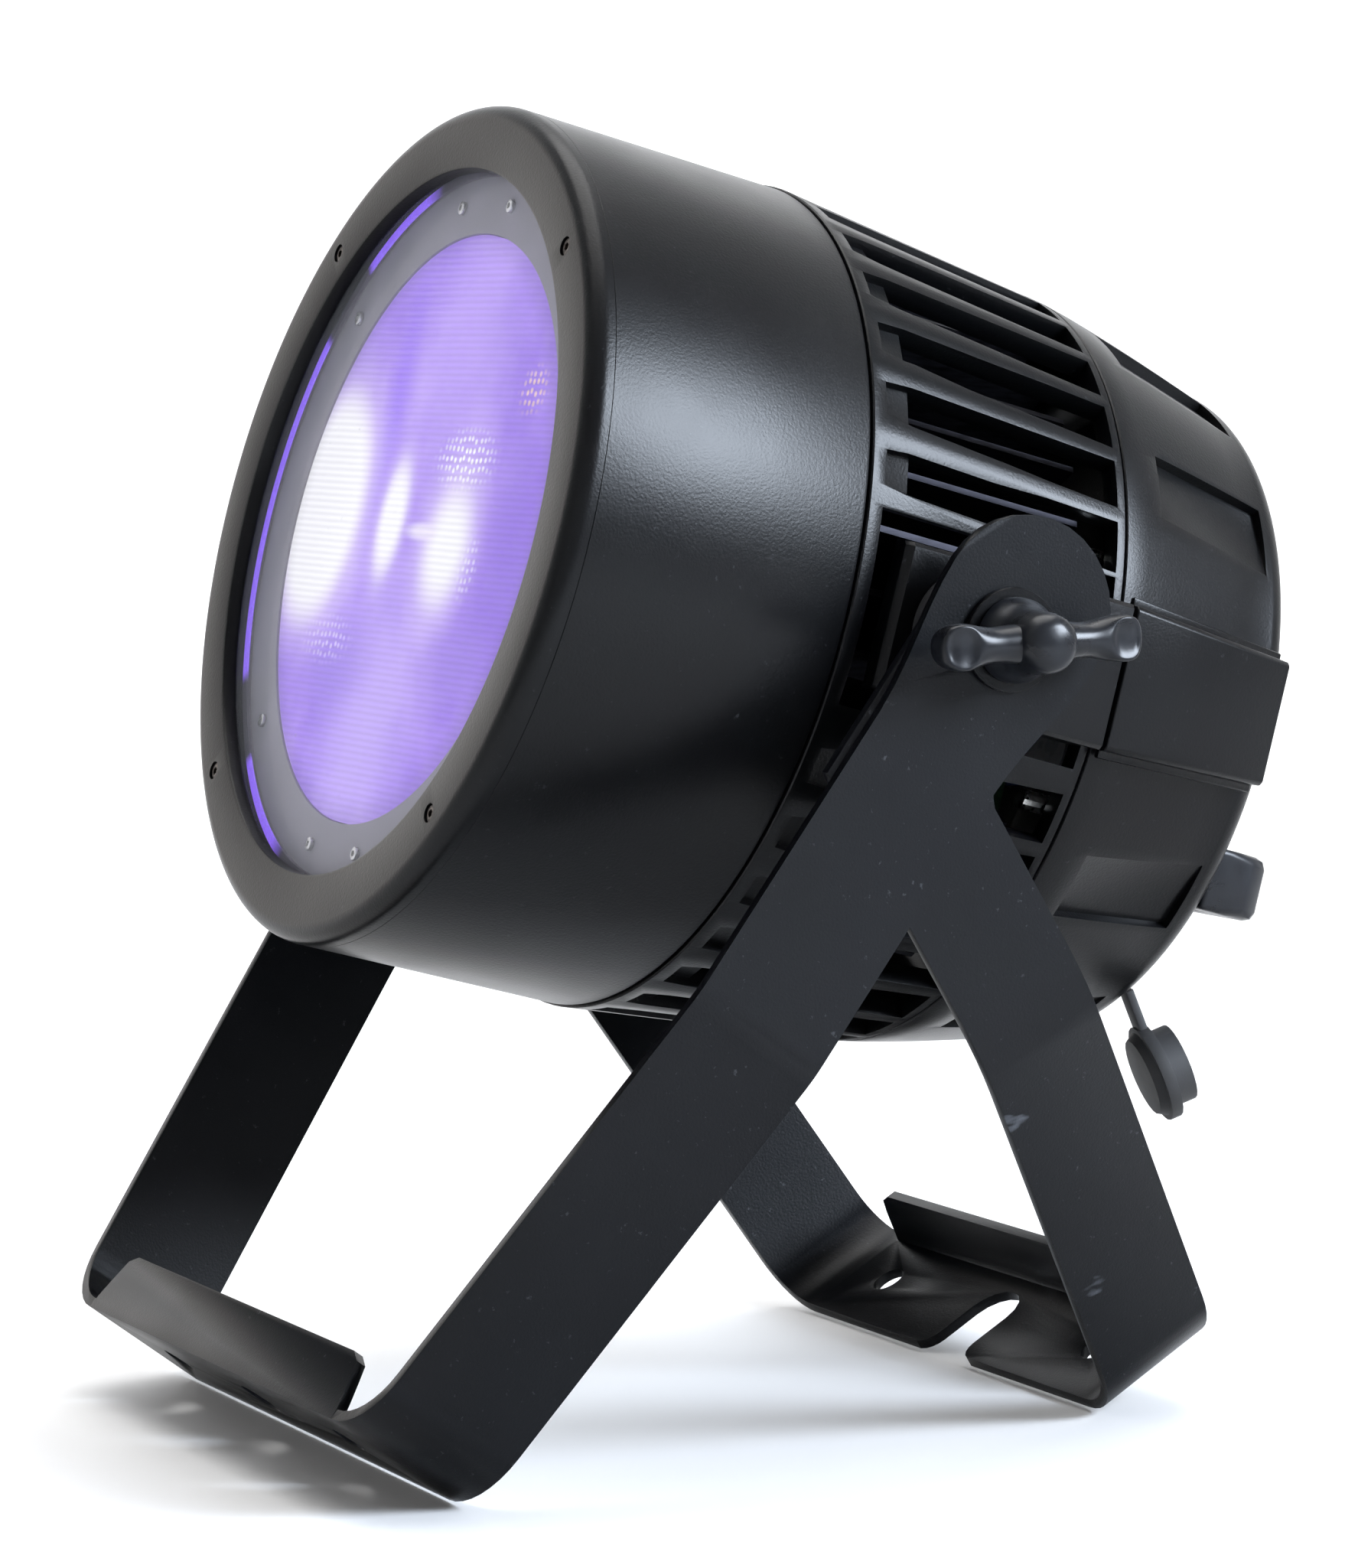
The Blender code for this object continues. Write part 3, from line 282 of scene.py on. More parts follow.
def socket_screw(name, radius, top, depth, centre):
    """Low head with a rounded rim and a six-sided driver socket."""
    outline = [(top - depth, 0.0), (top - depth, radius), (top - 0.0005, radius),
               (top - 0.00015, radius * 0.94), (top, radius * 0.8), (top, 0.0)]
    screw = turn(trace(name, outline, Vector((centre.x, 0, centre.z))), 32,
                 Vector((centre.x, 0, centre.z)))
    drive = rod("drive", radius * 0.48, top + 0.001, top - depth * 0.55, centre, 6)
    carve(screw, drive)
    return screw


oxide = black_oxide("black_oxide_steel")
for k in range(4):
    centre = around(BEZEL_SCREW_R, 45 + 90 * k, 0)
    screw = socket_screw("bezel_screw_head_{}".format(k + 1), 0.0025, BEZEL_FRONT - 0.0005,
                         0.0016, centre)
    finish_piece(screw, oxide, "head", "dark_screw", "bezel_screw_{}".format(k + 1))


# ----------------------------------------------------------------- front glass
# Toughened clear disc, 3 mm, ground edge, held under the bezel's lip.
# A wiped film of dust and one or two smears take the edge off its clarity.
GLASS_FACE = 0.1196


def clear_glass(name):
    mat, shader = new_material(name, roughness=0.03, ior=1.5)
    tree = mat.node_tree
    shader.inputs["Base Color"].default_value = linear("#c9ccd2")
    where = add(mat, "TexCoord")
    film = add(mat, "TexNoise", [("Vector", where, "Object")],
               values={"Scale": 18.0, "Detail": 7.0, "Roughness": 0.65})
    dust = add(mat, "TexNoise", [("Vector", where, "Object")],
               values={"Scale": 520.0, "Detail": 2.0, "Roughness": 0.6})
    haze = ramp(mat, film, "Fac", [(0.4, 0.004), (0.75, 0.025)])
    dots = ramp(mat, dust, "Fac", [(0.72, 0.0), (0.78, 0.22)])
    cover = add(mat, "Math", [(0, haze, "Color"), (1, dots, "Color")], operation="ADD")
    facing = add(mat, "LayerWeight", values={"Blend": 0.5})
    steep = add(mat, "Math", [(0, facing, "Facing")], operation="POWER", values={1: 5.0})
    edge = add(mat, "Math", [(0, steep, 0)], operation="MULTIPLY_ADD",
               values={1: 0.60, 2: 0.025})
    total = add(mat, "Math", [(0, cover, 0), (1, edge, 0)], operation="ADD", use_clamp=True)
    clear = add(mat, "BsdfTransparent", values={"Color": (0.97, 0.97, 0.99, 1)})
    mixed = add(mat, "MixShader", [(0, total, 0), (1, clear, 0), (2, shader, 0)])
    tree.links.new(mixed.outputs[0], tree.nodes["Material Output"].inputs["Surface"])
    return mat


outline = [(GLASS_FACE, 0.0), (GLASS_FACE, 0.1032), (GLASS_FACE - 0.0006, 0.1038),
           (GLASS_FACE - 0.0024, 0.1038), (GLASS_FACE - 0.0030, 0.1032),
           (GLASS_FACE - 0.0030, 0.0)]
pane = turn(trace("front_pane", outline))
finish_piece(pane, clear_glass("toughened_clear_glass"), "head", "clear_glass", "front_glass")


# ---------------------------------------------------------------- glass gasket
# Flat ring punched from silicone sheet, between glass and mask.  Broken
# violet arcs of lens light on its inner wall are painted on as glowing glints.
GASKET = (0.1163, 0.1151)


def silicone_with_painted_glints(name):
    mat, shader = new_material(name, roughness=0.6)
    shader.inputs["Base Color"].default_value = linear("#4b4550")
    where = add(mat, "TexCoord")
    centred = add(mat, "Mapping", [("Vector", where, "Object")], vector_type="TEXTURE",
                  values={"Location": PIVOT, "Rotation": (math.pi / 2 - TILT, 0, 0)})
    parts = add(mat, "SeparateXYZ", [("Vector", centred, 0)])
    angle = add(mat, "Math", [(0, parts, "Y"), (1, parts, "X")], operation="ARCTAN2")
    turned = add(mat, "Math", [(0, angle, 0)], operation="ABSOLUTE")
    share = add(mat, "Math", [(0, turned, 0)], operation="DIVIDE", values={1: math.pi})
    # painted glints of lens light: one long arc at mid height, shorter ones above and below
    arcs = ramp(mat, share, 0, [(0.60, 0.0), (0.63, 1.0), (0.74, 1.0), (0.75, 0.0),
                                (0.83, 0.0), (0.84, 1.0), (1.0, 1.0)])
    grain = add(mat, "TexNoise", [("Vector", where, "Object")],
                values={"Scale": 1200.0, "Detail": 2.0})
    lively = add(mat, "MapRange", [("Value", grain, "Fac")],
                 values={"From Min": 0.2, "From Max": 0.8, "To Min": 0.75, "To Max": 1.15})
    deep = add(mat, "Math", [(0, parts, "Z")], operation="ABSOLUTE")
    line = add(mat, "Math", [(0, deep, 0)], operation="GREATER_THAN",
               values={1: GASKET[0] - 0.0005})
    lit = add(mat, "Math", [(0, arcs, "Color"), (1, line, 0)], operation="MULTIPLY")
    power = add(mat, "Math", [(0, lit, 0), (1, lively, 0)], operation="MULTIPLY")
    # painted glints: violet emission on the rubber stands in for lens light caught on its inner
    # wall
    shader.inputs["Emission Color"].default_value = linear("#8f62ff")
    link(mat, power, 0, shader, "Emission Strength")
    bump = add(mat, "Bump", [("Height", grain, "Fac")],
               values={"Strength": 0.2, "Distance": 0.00005})
    link(mat, bump, "Normal", shader, "Normal")
    return mat


outline = [(GASKET[0], 0.1009), (GASKET[0], 0.1037), (GASKET[1], 0.1037), (GASKET[1], 0.1009),
           (GASKET[0], 0.1009)]
gasket = turn(trace("gasket_ring", outline))
finish_piece(gasket, silicone_with_painted_glints("silicone_sheet_painted_glints"), "head", "black_rubber",
             "glass_gasket")


# ------------------------------------------------------- mask ring and its screws
# Steel ring laser cut and painted matt grey; it hides the optics' mounting.
# Eight small pan-head screws, zinc plated, hold the lens retainer through it.
MASK_FACE = 0.1148
LENS_R = 0.0844


def matt_grey_paint(name):
    mat, shader = new_material(name)
    where = add(mat, "TexCoord")
    mottle = add(mat, "TexNoise", [("Vector", where, "Object")],
                 values={"Scale": 60.0, "Detail": 6.0, "Roughness": 0.6})
    tone = ramp(mat, mottle, "Fac", [(0.3, "#6c6970"), (0.7, "#7d7982")])
    link(mat, tone, "Color", shader, "Base Color")
    rough = ramp(mat, mottle, "Fac", [(0.3, 0.5), (0.7, 0.62)])
    link(mat, rough, "Color", shader, "Roughness")
    fine = add(mat, "TexNoise", [("Vector", where, "Object")],
               values={"Scale": 1400.0, "Detail": 2.0})
    bump = add(mat, "Bump", [("Height", fine, "Fac")],
               values={"Strength": 0.25, "Distance": 0.00006})
    link(mat, bump, "Normal", shader, "Normal")
    return mat


def zinc_plate(name):
    """Bright zinc on steel: pale metal with faint blotches."""
    mat, shader = new_material(name, metallic=1.0)
    where = add(mat, "TexCoord")
    blotch = add(mat, "TexNoise", [("Vector", where, "Object")],
                 values={"Scale": 240.0, "Detail": 5.0, "Roughness": 0.6})
    tone = ramp(mat, blotch, "Fac", [(0.3, "#9c9c98"), (0.7, "#c9cac8")])
    link(mat, tone, "Color", shader, "Base Color")
    rough = ramp(mat, blotch, "Fac", [(0.3, 0.2), (0.7, 0.36)])
    link(mat, rough, "Color", shader, "Roughness")
    return mat


outline = [(MASK_FACE, LENS_R + 0.0003), (MASK_FACE, 0.1038), (MASK_FACE - 0.0020, 0.1038),
           (MASK_FACE - 0.0020, LENS_R + 0.0003), (MASK_FACE, LENS_R + 0.0003)]
mask = turn(trace("mask_plate", outline))
finish_piece(mask, matt_grey_paint("matt_grey_painted_steel"), "head", "grey_mask", "mask_ring")
zinc = zinc_plate("zinc_plated_steel")
for k, degrees in enumerate((40, 80, 100, 140, 220, 260, 280, 320)):
    screw = socket_screw("mask_screw_head_{}".format(k + 1), 0.0020, MASK_FACE + 0.0012,
                         0.0011, around(0.0935, degrees, 0))
    finish_piece(screw, zinc, "head", "bright_steel", "mask_screw_{}".format(k + 1))


# --------------------------------------------------------------- diffuser lens
# Moulded acrylic disc with fine level ribs on its face and a honeycomb of
# lenslets behind; lit violet, with the hot spots of the emitters showing.
def lit_acrylic(name):
    mat, shader = new_material(name, roughness=0.3, specular_ior_level=0.15)
    shader.inputs["Base Color"].default_value = linear("#1a1428")
    where = add(mat, "TexCoord")
    local = add(mat, "Mapping", [("Vector", where, "Object")], vector_type="TEXTURE",
                values={"Location": PIVOT + Vector((0, 0, -0.003)),
                        "Rotation": (math.pi / 2 - TILT, 0, 0), "Scale": (0.001, 0.001, 0.001)})
    place = add(mat, "SeparateXYZ", [("Vector", local, 0)])
    drift = add(mat, "TexNoise", [("Vector", local, 0)],
                values={"Scale": 0.028, "Detail": 5.0, "Roughness": 0.55})

    def spot(x, y, wide, high, soft):
        """Round glow, 1 in the middle; soft is where it starts to fade."""
        moved = add(mat, "Mapping", [("Vector", local, 0)],
                    values={"Location": (-x / wide, -y / high, 0),
                            "Scale": (1 / wide, 1 / high, 0)})
        far = add(mat, "VectorMath", [(0, moved, 0)], operation="LENGTH")
        return add(mat, "MapRange", [("Value", far, "Value")], interpolation_type="SMOOTHSTEP",
                   values={"From Min": soft, "From Max": 1.0, "To Min": 1.0, "To Max": 0.0})

    def blend(base, factor, colour, amount=1.0):
        """Mix a colour over the base where the factor is high."""
        colour_out = 2 if base.bl_idname == "ShaderNodeMix" else 0
        if amount != 1.0:
            factor = add(mat, "Math", [(0, factor, 0)], operation="MULTIPLY",
                         values={1: amount})
        return add(mat, "Mix", [(0, factor, 0), (6, base, colour_out)],
                   data_type="RGBA", values={7: linear(colour)})

    glow = ramp(mat, drift, "Fac", [(0.30, "#8c5ee4"), (0.52, "#a37cee"), (0.74, "#ba99f6")])
    # broad violet bands first, then the white images of the emitters over them
    for x, y, wide, high, soft, colour, amount in (
            (12, 62, 40, 70, 0.0, "#b998f6", 0.75),
            (4, -58, 46, 60, 0.0, "#c2a8f8", 0.75),
            (-30, 30, 13, 60, 0.0, "#8d5cf2", 0.85),
            (70, -8, 30, 52, 0.0, "#8a5fe0", 0.9),
            (-68, 42, 30, 26, 0.0, "#9a78e2", 0.8),
            (-30, -42, 34, 20, 0.0, "#8c66e0", 0.8),
            (50, -38, 34, 20, 0.0, "#9470e2", 0.75),
            (-62, 4, 44, 54, 0.35, "#f3e2ff", 0.7),
            (-63, 4, 31, 40, 0.62, "#ffffff", 1.0),
            (-14, 2, 15, 28, 0.1, "#f6eaff", 0.9),
            (-14, 2, 11, 21, 0.35, "#ffffff", 1.0),
            (27, -3, 28, 36, 0.15, "#ecdcff", 0.85),
            (27, -5, 19, 22, 0.3, "#ffffff", 1.0),
            (8, -1, 14, 3.5, 0.2, "#fbf4ff", 0.8)):
        glow = blend(glow, spot(x, y, wide, high, soft), colour, amount)
    # lenslets: 2.8 mm honeycomb, bright where the emitters look through them
    cells = add(mat, "TexVoronoi", [("Vector", local, 0)], feature="F1",
                voronoi_dimensions="2D", values={"Scale": 0.36, "Randomness": 0.35})
    dots = ramp(mat, cells, "Distance", [(0.20, 1.0), (0.36, 0.0)])
    for x, y, wide, high, colour, amount in ((27, 20, 24, 11, "#ffffff", 1.0),
                                             (60, 40, 11, 9, "#ffd9b8", 0.75),
                                             (-40, -34, 22, 9, "#e9dcff", 0.6),
                                             (44, -10, 8, 12, "#ffffff", 0.5)):
        here = spot(x, y, wide, high, 0.3)
        both = add(mat, "Math", [(0, here, 0), (1, dots, "Color")], operation="MULTIPLY")
        glow = blend(glow, both, colour, amount)
    # moulded ribs, 1.9 mm pitch, level across the disc
    ribs = add(mat, "TexWave", [("Vector", local, 0)], wave_type="BANDS",
               bands_direction="Y", values={"Scale": 0.165, "Distortion": 0.15, "Detail": 1.0})
    shade = add(mat, "MapRange", [("Value", ribs, "Fac")],
                values={"To Min": 0.90, "To Max": 1.06})
    ribbed = add(mat, "VectorMath", [(0, glow, 2), (1, shade, 0)], operation="MULTIPLY")
    flat = add(mat, "CombineXYZ", [("X", place, "X"), ("Y", place, "Y")])
    rim = add(mat, "VectorMath", [(0, flat, 0)], operation="LENGTH")
    edge = add(mat, "MapRange", [("Value", rim, "Value")], interpolation_type="SMOOTHSTEP",
               values={"From Min": 76.0, "From Max": 84.5, "To Min": 1.0, "To Max": 0.80})
    final = add(mat, "VectorMath", [(0, ribbed, 0), (1, edge, 0)], operation="MULTIPLY")
    link(mat, final, 0, shader, "Emission Color")
    shader.inputs["Emission Strength"].default_value = 0.98
    bump = add(mat, "Bump", [("Height", ribs, "Fac")],
               values={"Strength": 0.3, "Distance": 0.0003})
    link(mat, bump, "Normal", shader, "Normal")
    return mat


outline = [(MASK_FACE + 0.0003, 0.0), (MASK_FACE + 0.0003, LENS_R - 0.0020),
           (MASK_FACE - 0.0006, LENS_R), (MASK_FACE - 0.0030, LENS_R), (MASK_FACE - 0.0030, 0.0)]
lens = turn(trace("diffuser_disc", outline))
finish_piece(lens, lit_acrylic("moulded_acrylic_lit"), "head", "lit_lens", "diffuser_lens")


# ----------------------------------------------------------------- ribbed cage
# Die-cast ring behind the barrel.  Thirty long slots let air on to the heat
# sink; each has a shallow step at its front and widens towards the rear.
CAGE_FRONT = (0.0380, 0.1205)
CAGE_REAR = (-0.0493, 0.1122)
SLOT_STATIONS = ((0.0335, 2.45), (0.0245, 3.00), (0.0050, 3.45), (-0.0462, 3.85))


def cage_radius(ahead):
    share = (ahead - CAGE_FRONT[0]) / (CAGE_REAR[0] - CAGE_FRONT[0])
    return CAGE_FRONT[1] + (CAGE_REAR[1] - CAGE_FRONT[1]) * share


def pick(piece, test, mode="VERT"):
    """In edit mode, select only the corners or faces that pass the test."""
    bpy.ops.mesh.select_all(action="DESELECT")
    bpy.ops.mesh.select_mode(type=mode)
    bm = bmesh.from_edit_mesh(piece.data)
    for item in (bm.verts if mode == "VERT" else bm.faces):
        item.select_set(test(item))
    bm.select_flush_mode()
    bmesh.update_edit_mesh(piece.data)


def near(value, other, slack=0.0002):
    return abs(value - other) < slack


def slot_tool():
    """Stepped block that cuts one slot, drawn pointing along +X."""
    stops = [ahead for ahead, half in SLOT_STATIONS]
    top, deep, land = 0.132, 0.098, 0.0028
    outline = [(stops[0], top), (stops[0], cage_radius(stops[0]) - land),
               (stops[1], cage_radius(stops[1]) - land), (stops[1], deep),
               (stops[2], deep), (stops[3], deep), (stops[3], top), (stops[2], top),
               (stops[1], top)]
    tool = trace("slot_tool", outline)
    bpy.ops.mesh.select_all(action="SELECT")
    bpy.ops.mesh.edge_face_add()
    bpy.ops.transform.translate(value=(0, 0, -0.0005))
    bpy.ops.mesh.extrude_region_move(TRANSFORM_OT_translate={"value": (0, 0, 0.001)})
    for ahead, half in SLOT_STATIONS:
        pick(tool, lambda v, y=-ahead: near(v.co.y, y))
        wide = cage_radius(ahead) * math.tan(math.radians(half)) / 0.0005
        bpy.ops.transform.resize(value=(1, 1, wide), center_override=BEAM)
    bpy.ops.mesh.select_all(action="SELECT")
    bpy.ops.mesh.normals_make_consistent(inside=False)
    bpy.ops.object.mode_set(mode="OBJECT")
    return tool


def turned_copy(piece, degrees, mirror=(1, 1, 1)):
    """Copy with its own mesh, mirrored and then turned about the beam."""
    made = piece.copy()
    made.data = piece.data.copy()
    HERE.collection.objects.link(made)
    alone(made)
    made.matrix_world = (Matrix.Translation(BEAM)
                         @ Matrix.Rotation(-math.radians(degrees), 4, "Y")
                         @ Matrix.Diagonal((*mirror, 1)) @ Matrix.Translation(-BEAM))
    bpy.ops.object.transform_apply(location=True, rotation=True, scale=True)
    if mirror[0] * mirror[1] * mirror[2] < 0:
        bpy.ops.object.mode_set(mode="EDIT")
        bpy.ops.mesh.select_all(action="SELECT")
        bpy.ops.mesh.normals_make_consistent(inside=False)
        bpy.ops.object.mode_set(mode="OBJECT")
    return made


def clean_up(piece, angle=0.3):
    """Merge doubles and melt the flat leftovers of a cut."""
    alone(piece)
    bpy.ops.object.mode_set(mode="EDIT")
    bpy.ops.mesh.select_all(action="SELECT")
    bpy.ops.mesh.remove_doubles(threshold=0.00001)
    bpy.ops.mesh.dissolve_limited(angle_limit=math.radians(angle))
    bpy.ops.object.mode_set(mode="OBJECT")


outline = [(CAGE_FRONT[0], 0.1140), (CAGE_FRONT[0], 0.1201), (CAGE_FRONT[0] - 0.0004, 0.1205)]
outline += [(ahead, cage_radius(ahead)) for ahead in (0.030, 0.010, -0.010, -0.030, -0.0487)]
outline += [(CAGE_REAR[0], 0.1117), (CAGE_REAR[0], 0.1057), (CAGE_FRONT[0], 0.1140)]
cage = turn(trace("ribbed_cage", outline), 144)
tool = slot_tool()
slots = [turned_copy(tool, 10 * k) for k in range(36) if k not in (35, 0, 1, 17, 18, 19)]
bpy.data.objects.remove(tool, do_unlink=True)
windows = []
for side in (0, 180):
    bpy.ops.object.select_all(action="DESELECT")
    bpy.ops.mesh.primitive_cube_add(size=1, location=(0.117, 0.00635, 0.0))
    window = HERE.object
    window.scale = (0.030, 0.0797, 0.0540)
    bpy.ops.object.transform_apply(location=True, rotation=True, scale=True)
    windows.append(turned_copy(window, side))
    bpy.data.objects.remove(window, do_unlink=True)
# the side windows are cut first, then every other slot, then the rest
for group in (windows, slots[0::2], slots[1::2]):
    carve(cage, join(group, "slots"))
clean_up(cage)
soften(cage, 0.0006, 2, 40)
finish_piece(cage, cast_coat, "head", "painted_casting", "vented_cage")


# ------------------------------------------------------------------ rear cover
# Tapered casting that closes the rear, 4 mm wall and a rolled rear edge.
# Eight slanted pockets in its side drain water and break up the curve.
COVER_REAR = -0.1150
COVER_ROUND = 0.0080


def cover_radius(ahead):
    share = (ahead - CAGE_REAR[0]) / (COVER_REAR + COVER_ROUND - CAGE_REAR[0])
    return CAGE_REAR[1] + (0.0990 - CAGE_REAR[1]) * share ** 1.15


stops = [-0.0500, -0.058, -0.066, -0.074, -0.082, -0.090, -0.098]
corner = cover_radius(COVER_REAR + COVER_ROUND)
outline = [(-0.0496, 0.1082), (-0.0496, 0.1117)]
outline += [(ahead, cover_radius(ahead)) for ahead in stops]
outline += rolled(COVER_REAR + COVER_ROUND, corner - COVER_ROUND, COVER_ROUND, 90, 180, 12)
outline += [(COVER_REAR, 0.0806), (COVER_REAR + 0.0006, 0.0800), (COVER_REAR + 0.0040, 0.0800)]
outline += rolled(COVER_REAR + COVER_ROUND, corner - COVER_ROUND, 0.0040, 180, 90, 6)
outline += [(ahead, cover_radius(ahead) - 0.0040) for ahead in reversed(stops[1:])]
outline += [(-0.0496, 0.1082)]
cover = turn(trace("rear_cover_shell", outline), 144)


def pocket_tool():
    """Wedge for one pocket: deep along its upper side, shallow along the lower."""
    bpy.ops.object.select_all(action="DESELECT")
    bpy.ops.mesh.primitive_cube_add(size=1)
    tool = HERE.object
    bpy.ops.object.mode_set(mode="EDIT")
    bpy.ops.transform.resize(value=(0.030, 0.0430, 0.0222))
    bpy.ops.transform.translate(value=(0.118, 0.0845, BEAM.z))
    for ahead in (-0.063, -0.106):
        for side, depth in ((1, 0.0032), (-1, 0.0006)):
            pick(tool, lambda v, y=-ahead, s=side: near(v.co.y, y) and v.co.x < 0.11
                 and (v.co.z - BEAM.z) * s > 0)
            floor_x = cover_radius(ahead) - 0.0004 - depth
            bpy.ops.transform.translate(value=(floor_x - 0.103, 0, 0))
    # the rear end is wider than the front one
    pick(tool, lambda v: near(v.co.y, 0.063))
    bpy.ops.transform.resize(value=(1, 1, 0.94), center_override=BEAM)
    bpy.ops.mesh.select_all(action="SELECT")
    bpy.ops.mesh.normals_make_consistent(inside=False)
    bpy.ops.object.mode_set(mode="OBJECT")
    return tool


tool = pocket_tool()
tools = []
for degrees in (33.0, 64.5):
    tools.append(turned_copy(tool, degrees))
    tools.append(turned_copy(tool, -degrees + 3.0, (1, 1, -1)))
    tools.append(turned_copy(tool, -degrees, (-1, 1, 1)))
    tools.append(turned_copy(tool, degrees - 3.0, (-1, 1, -1)))
bpy.data.objects.remove(tool, do_unlink=True)
carve(cover, join(tools, "pockets"))
clean_up(cover)
soften(cover, 0.0005, 2, 24)
finish_piece(cover, cast_coat, "head", "painted_casting", "rear_cover")


# ------------------------------------------------------ pivot arms, side blocks
# Two cast arms bolted to the heat sink carry the tilt; a plain tapered cover
# block continues each arm to the rear.  Their edges are broken, not sharp.
def from_frame(node, name):
    """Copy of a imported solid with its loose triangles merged."""
    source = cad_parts[node]
    made = source.copy()
    made.data = source.data.copy()
    made.parent = None
    made.matrix_world = Matrix.Identity(4)
    for key in list(made.keys()):
        del made[key]
    made.hide_render = False
    HERE.collection.objects.link(made)
    made.name = made.data.name = name
    clean_up(made)
    return made


STAY = Matrix.Identity(4)
for side in ("right", "left"):
    arm = from_frame("pivot_arm_" + side, "tilt_arm_" + side)
    soften(arm, 0.0005, 2, 35)
    finish_piece(arm, cast_coat, "head", "painted_casting", "pivot_arm_" + side, place=STAY)
    block = from_frame("cover_block_" + side, "side_block_" + side)
    soften(block, 0.0005, 2, 25)
    finish_piece(block, cast_coat, "head", "painted_casting", "cover_block_" + side,
                 place=STAY)


# ----------------------------------------------------------------------- yokes
# Two straps of 3 mm steel sheet, laser cut, bent over a round former and
# powder coated.  The cut edges are painted pale: coat scuffed thin, plus painted highlight.
def scuffed_coat(name):
    """The same powder on sheet, with fine pale streaks where the straps rub."""
    mat = powder_coat(name, "#040507", "#08090c", 0.0007, 0.34, 0.10)
    shader = mat.node_tree.nodes["Principled BSDF"]
    where = add(mat, "TexCoord")
    stretched = add(mat, "Mapping", [("Vector", where, "Object")],
                    values={"Rotation": (0.5, 0.3, 0.9), "Scale": (160.0, 8.0, 60.0)})
    streaks = add(mat, "TexNoise", [("Vector", stretched, 0)],
                  values={"Scale": 1.0, "Detail": 4.0, "Roughness": 0.6})
    scratch = ramp(mat, streaks, "Fac", [(0.70, 0.0), (0.76, 0.30)])
    before = shader.inputs["Base Color"].links[0].from_node
    mixed = add(mat, "Mix", [(0, scratch, "Color"), (6, before, 2)], data_type="RGBA",
                values={7: linear("#6d7178")})
    link(mat, mixed, 2, shader, "Base Color")
    return mat


def pale_edge_wear_and_highlight(name):
    """Cut edges painted pale: partly powder worn thin by handling, partly painted highlight along
    the edge.
    """
    mat, shader = new_material(name, roughness=0.30)
    where = add(mat, "TexCoord")
    rub = add(mat, "TexNoise", [("Vector", where, "Object")],
              values={"Scale": 70.0, "Detail": 5.0, "Roughness": 0.65})
    # pale stops: coat worn thin, plus a painted highlight along the bevelled edges
    tone = ramp(mat, rub, "Fac", [(0.38, "#1b1c20"), (0.56, "#34363b"), (0.70, "#75787e")])
    link(mat, tone, "Color", shader, "Base Color")
    level = ramp(mat, rub, "Fac", [(0.35, 0.36), (0.70, 0.24)])
    link(mat, level, "Color", shader, "Roughness")
    return mat


strap_coat = scuffed_coat("powder_coated_steel_sheet")
strap_edge_wear_and_highlight = pale_edge_wear_and_highlight("worn_and_highlighted_sheet_edge")
for node, name in (("front_yoke", "front_strap"), ("rear_yoke", "rear_strap")):
    strap = from_frame(node, name)
    soften(strap, 0.0004, 2, 35)
    finish_piece(strap, strap_coat, node, "black_paint", node, place=STAY, edge=strap_edge_wear_and_highlight)


# -------------------------------------------------- friction pads and washers
# Moulded rubber pads grip the inner strap against the arm.  Outside, a black
# steel washer spreads the load of each knob.
def moulded_rubber(name, dark, light, rough):
    mat, shader = new_material(name)
    where = add(mat, "TexCoord")
    bloom = add(mat, "TexNoise", [("Vector", where, "Object")],
                values={"Scale": 90.0, "Detail": 6.0, "Roughness": 0.65})
    tone = ramp(mat, bloom, "Fac", [(0.35, dark), (0.7, light)])
    link(mat, tone, "Color", shader, "Base Color")
    dull = ramp(mat, bloom, "Fac", [(0.3, rough), (0.7, rough + 0.15)])
    link(mat, dull, "Color", shader, "Roughness")
    grit = add(mat, "TexNoise", [("Vector", where, "Object")],
               values={"Scale": 1600.0, "Detail": 3.0})
    bump = add(mat, "Bump", [("Height", grit, "Fac")],
               values={"Strength": 0.35, "Distance": 0.00008})
    link(mat, bump, "Normal", shader, "Normal")
    return mat


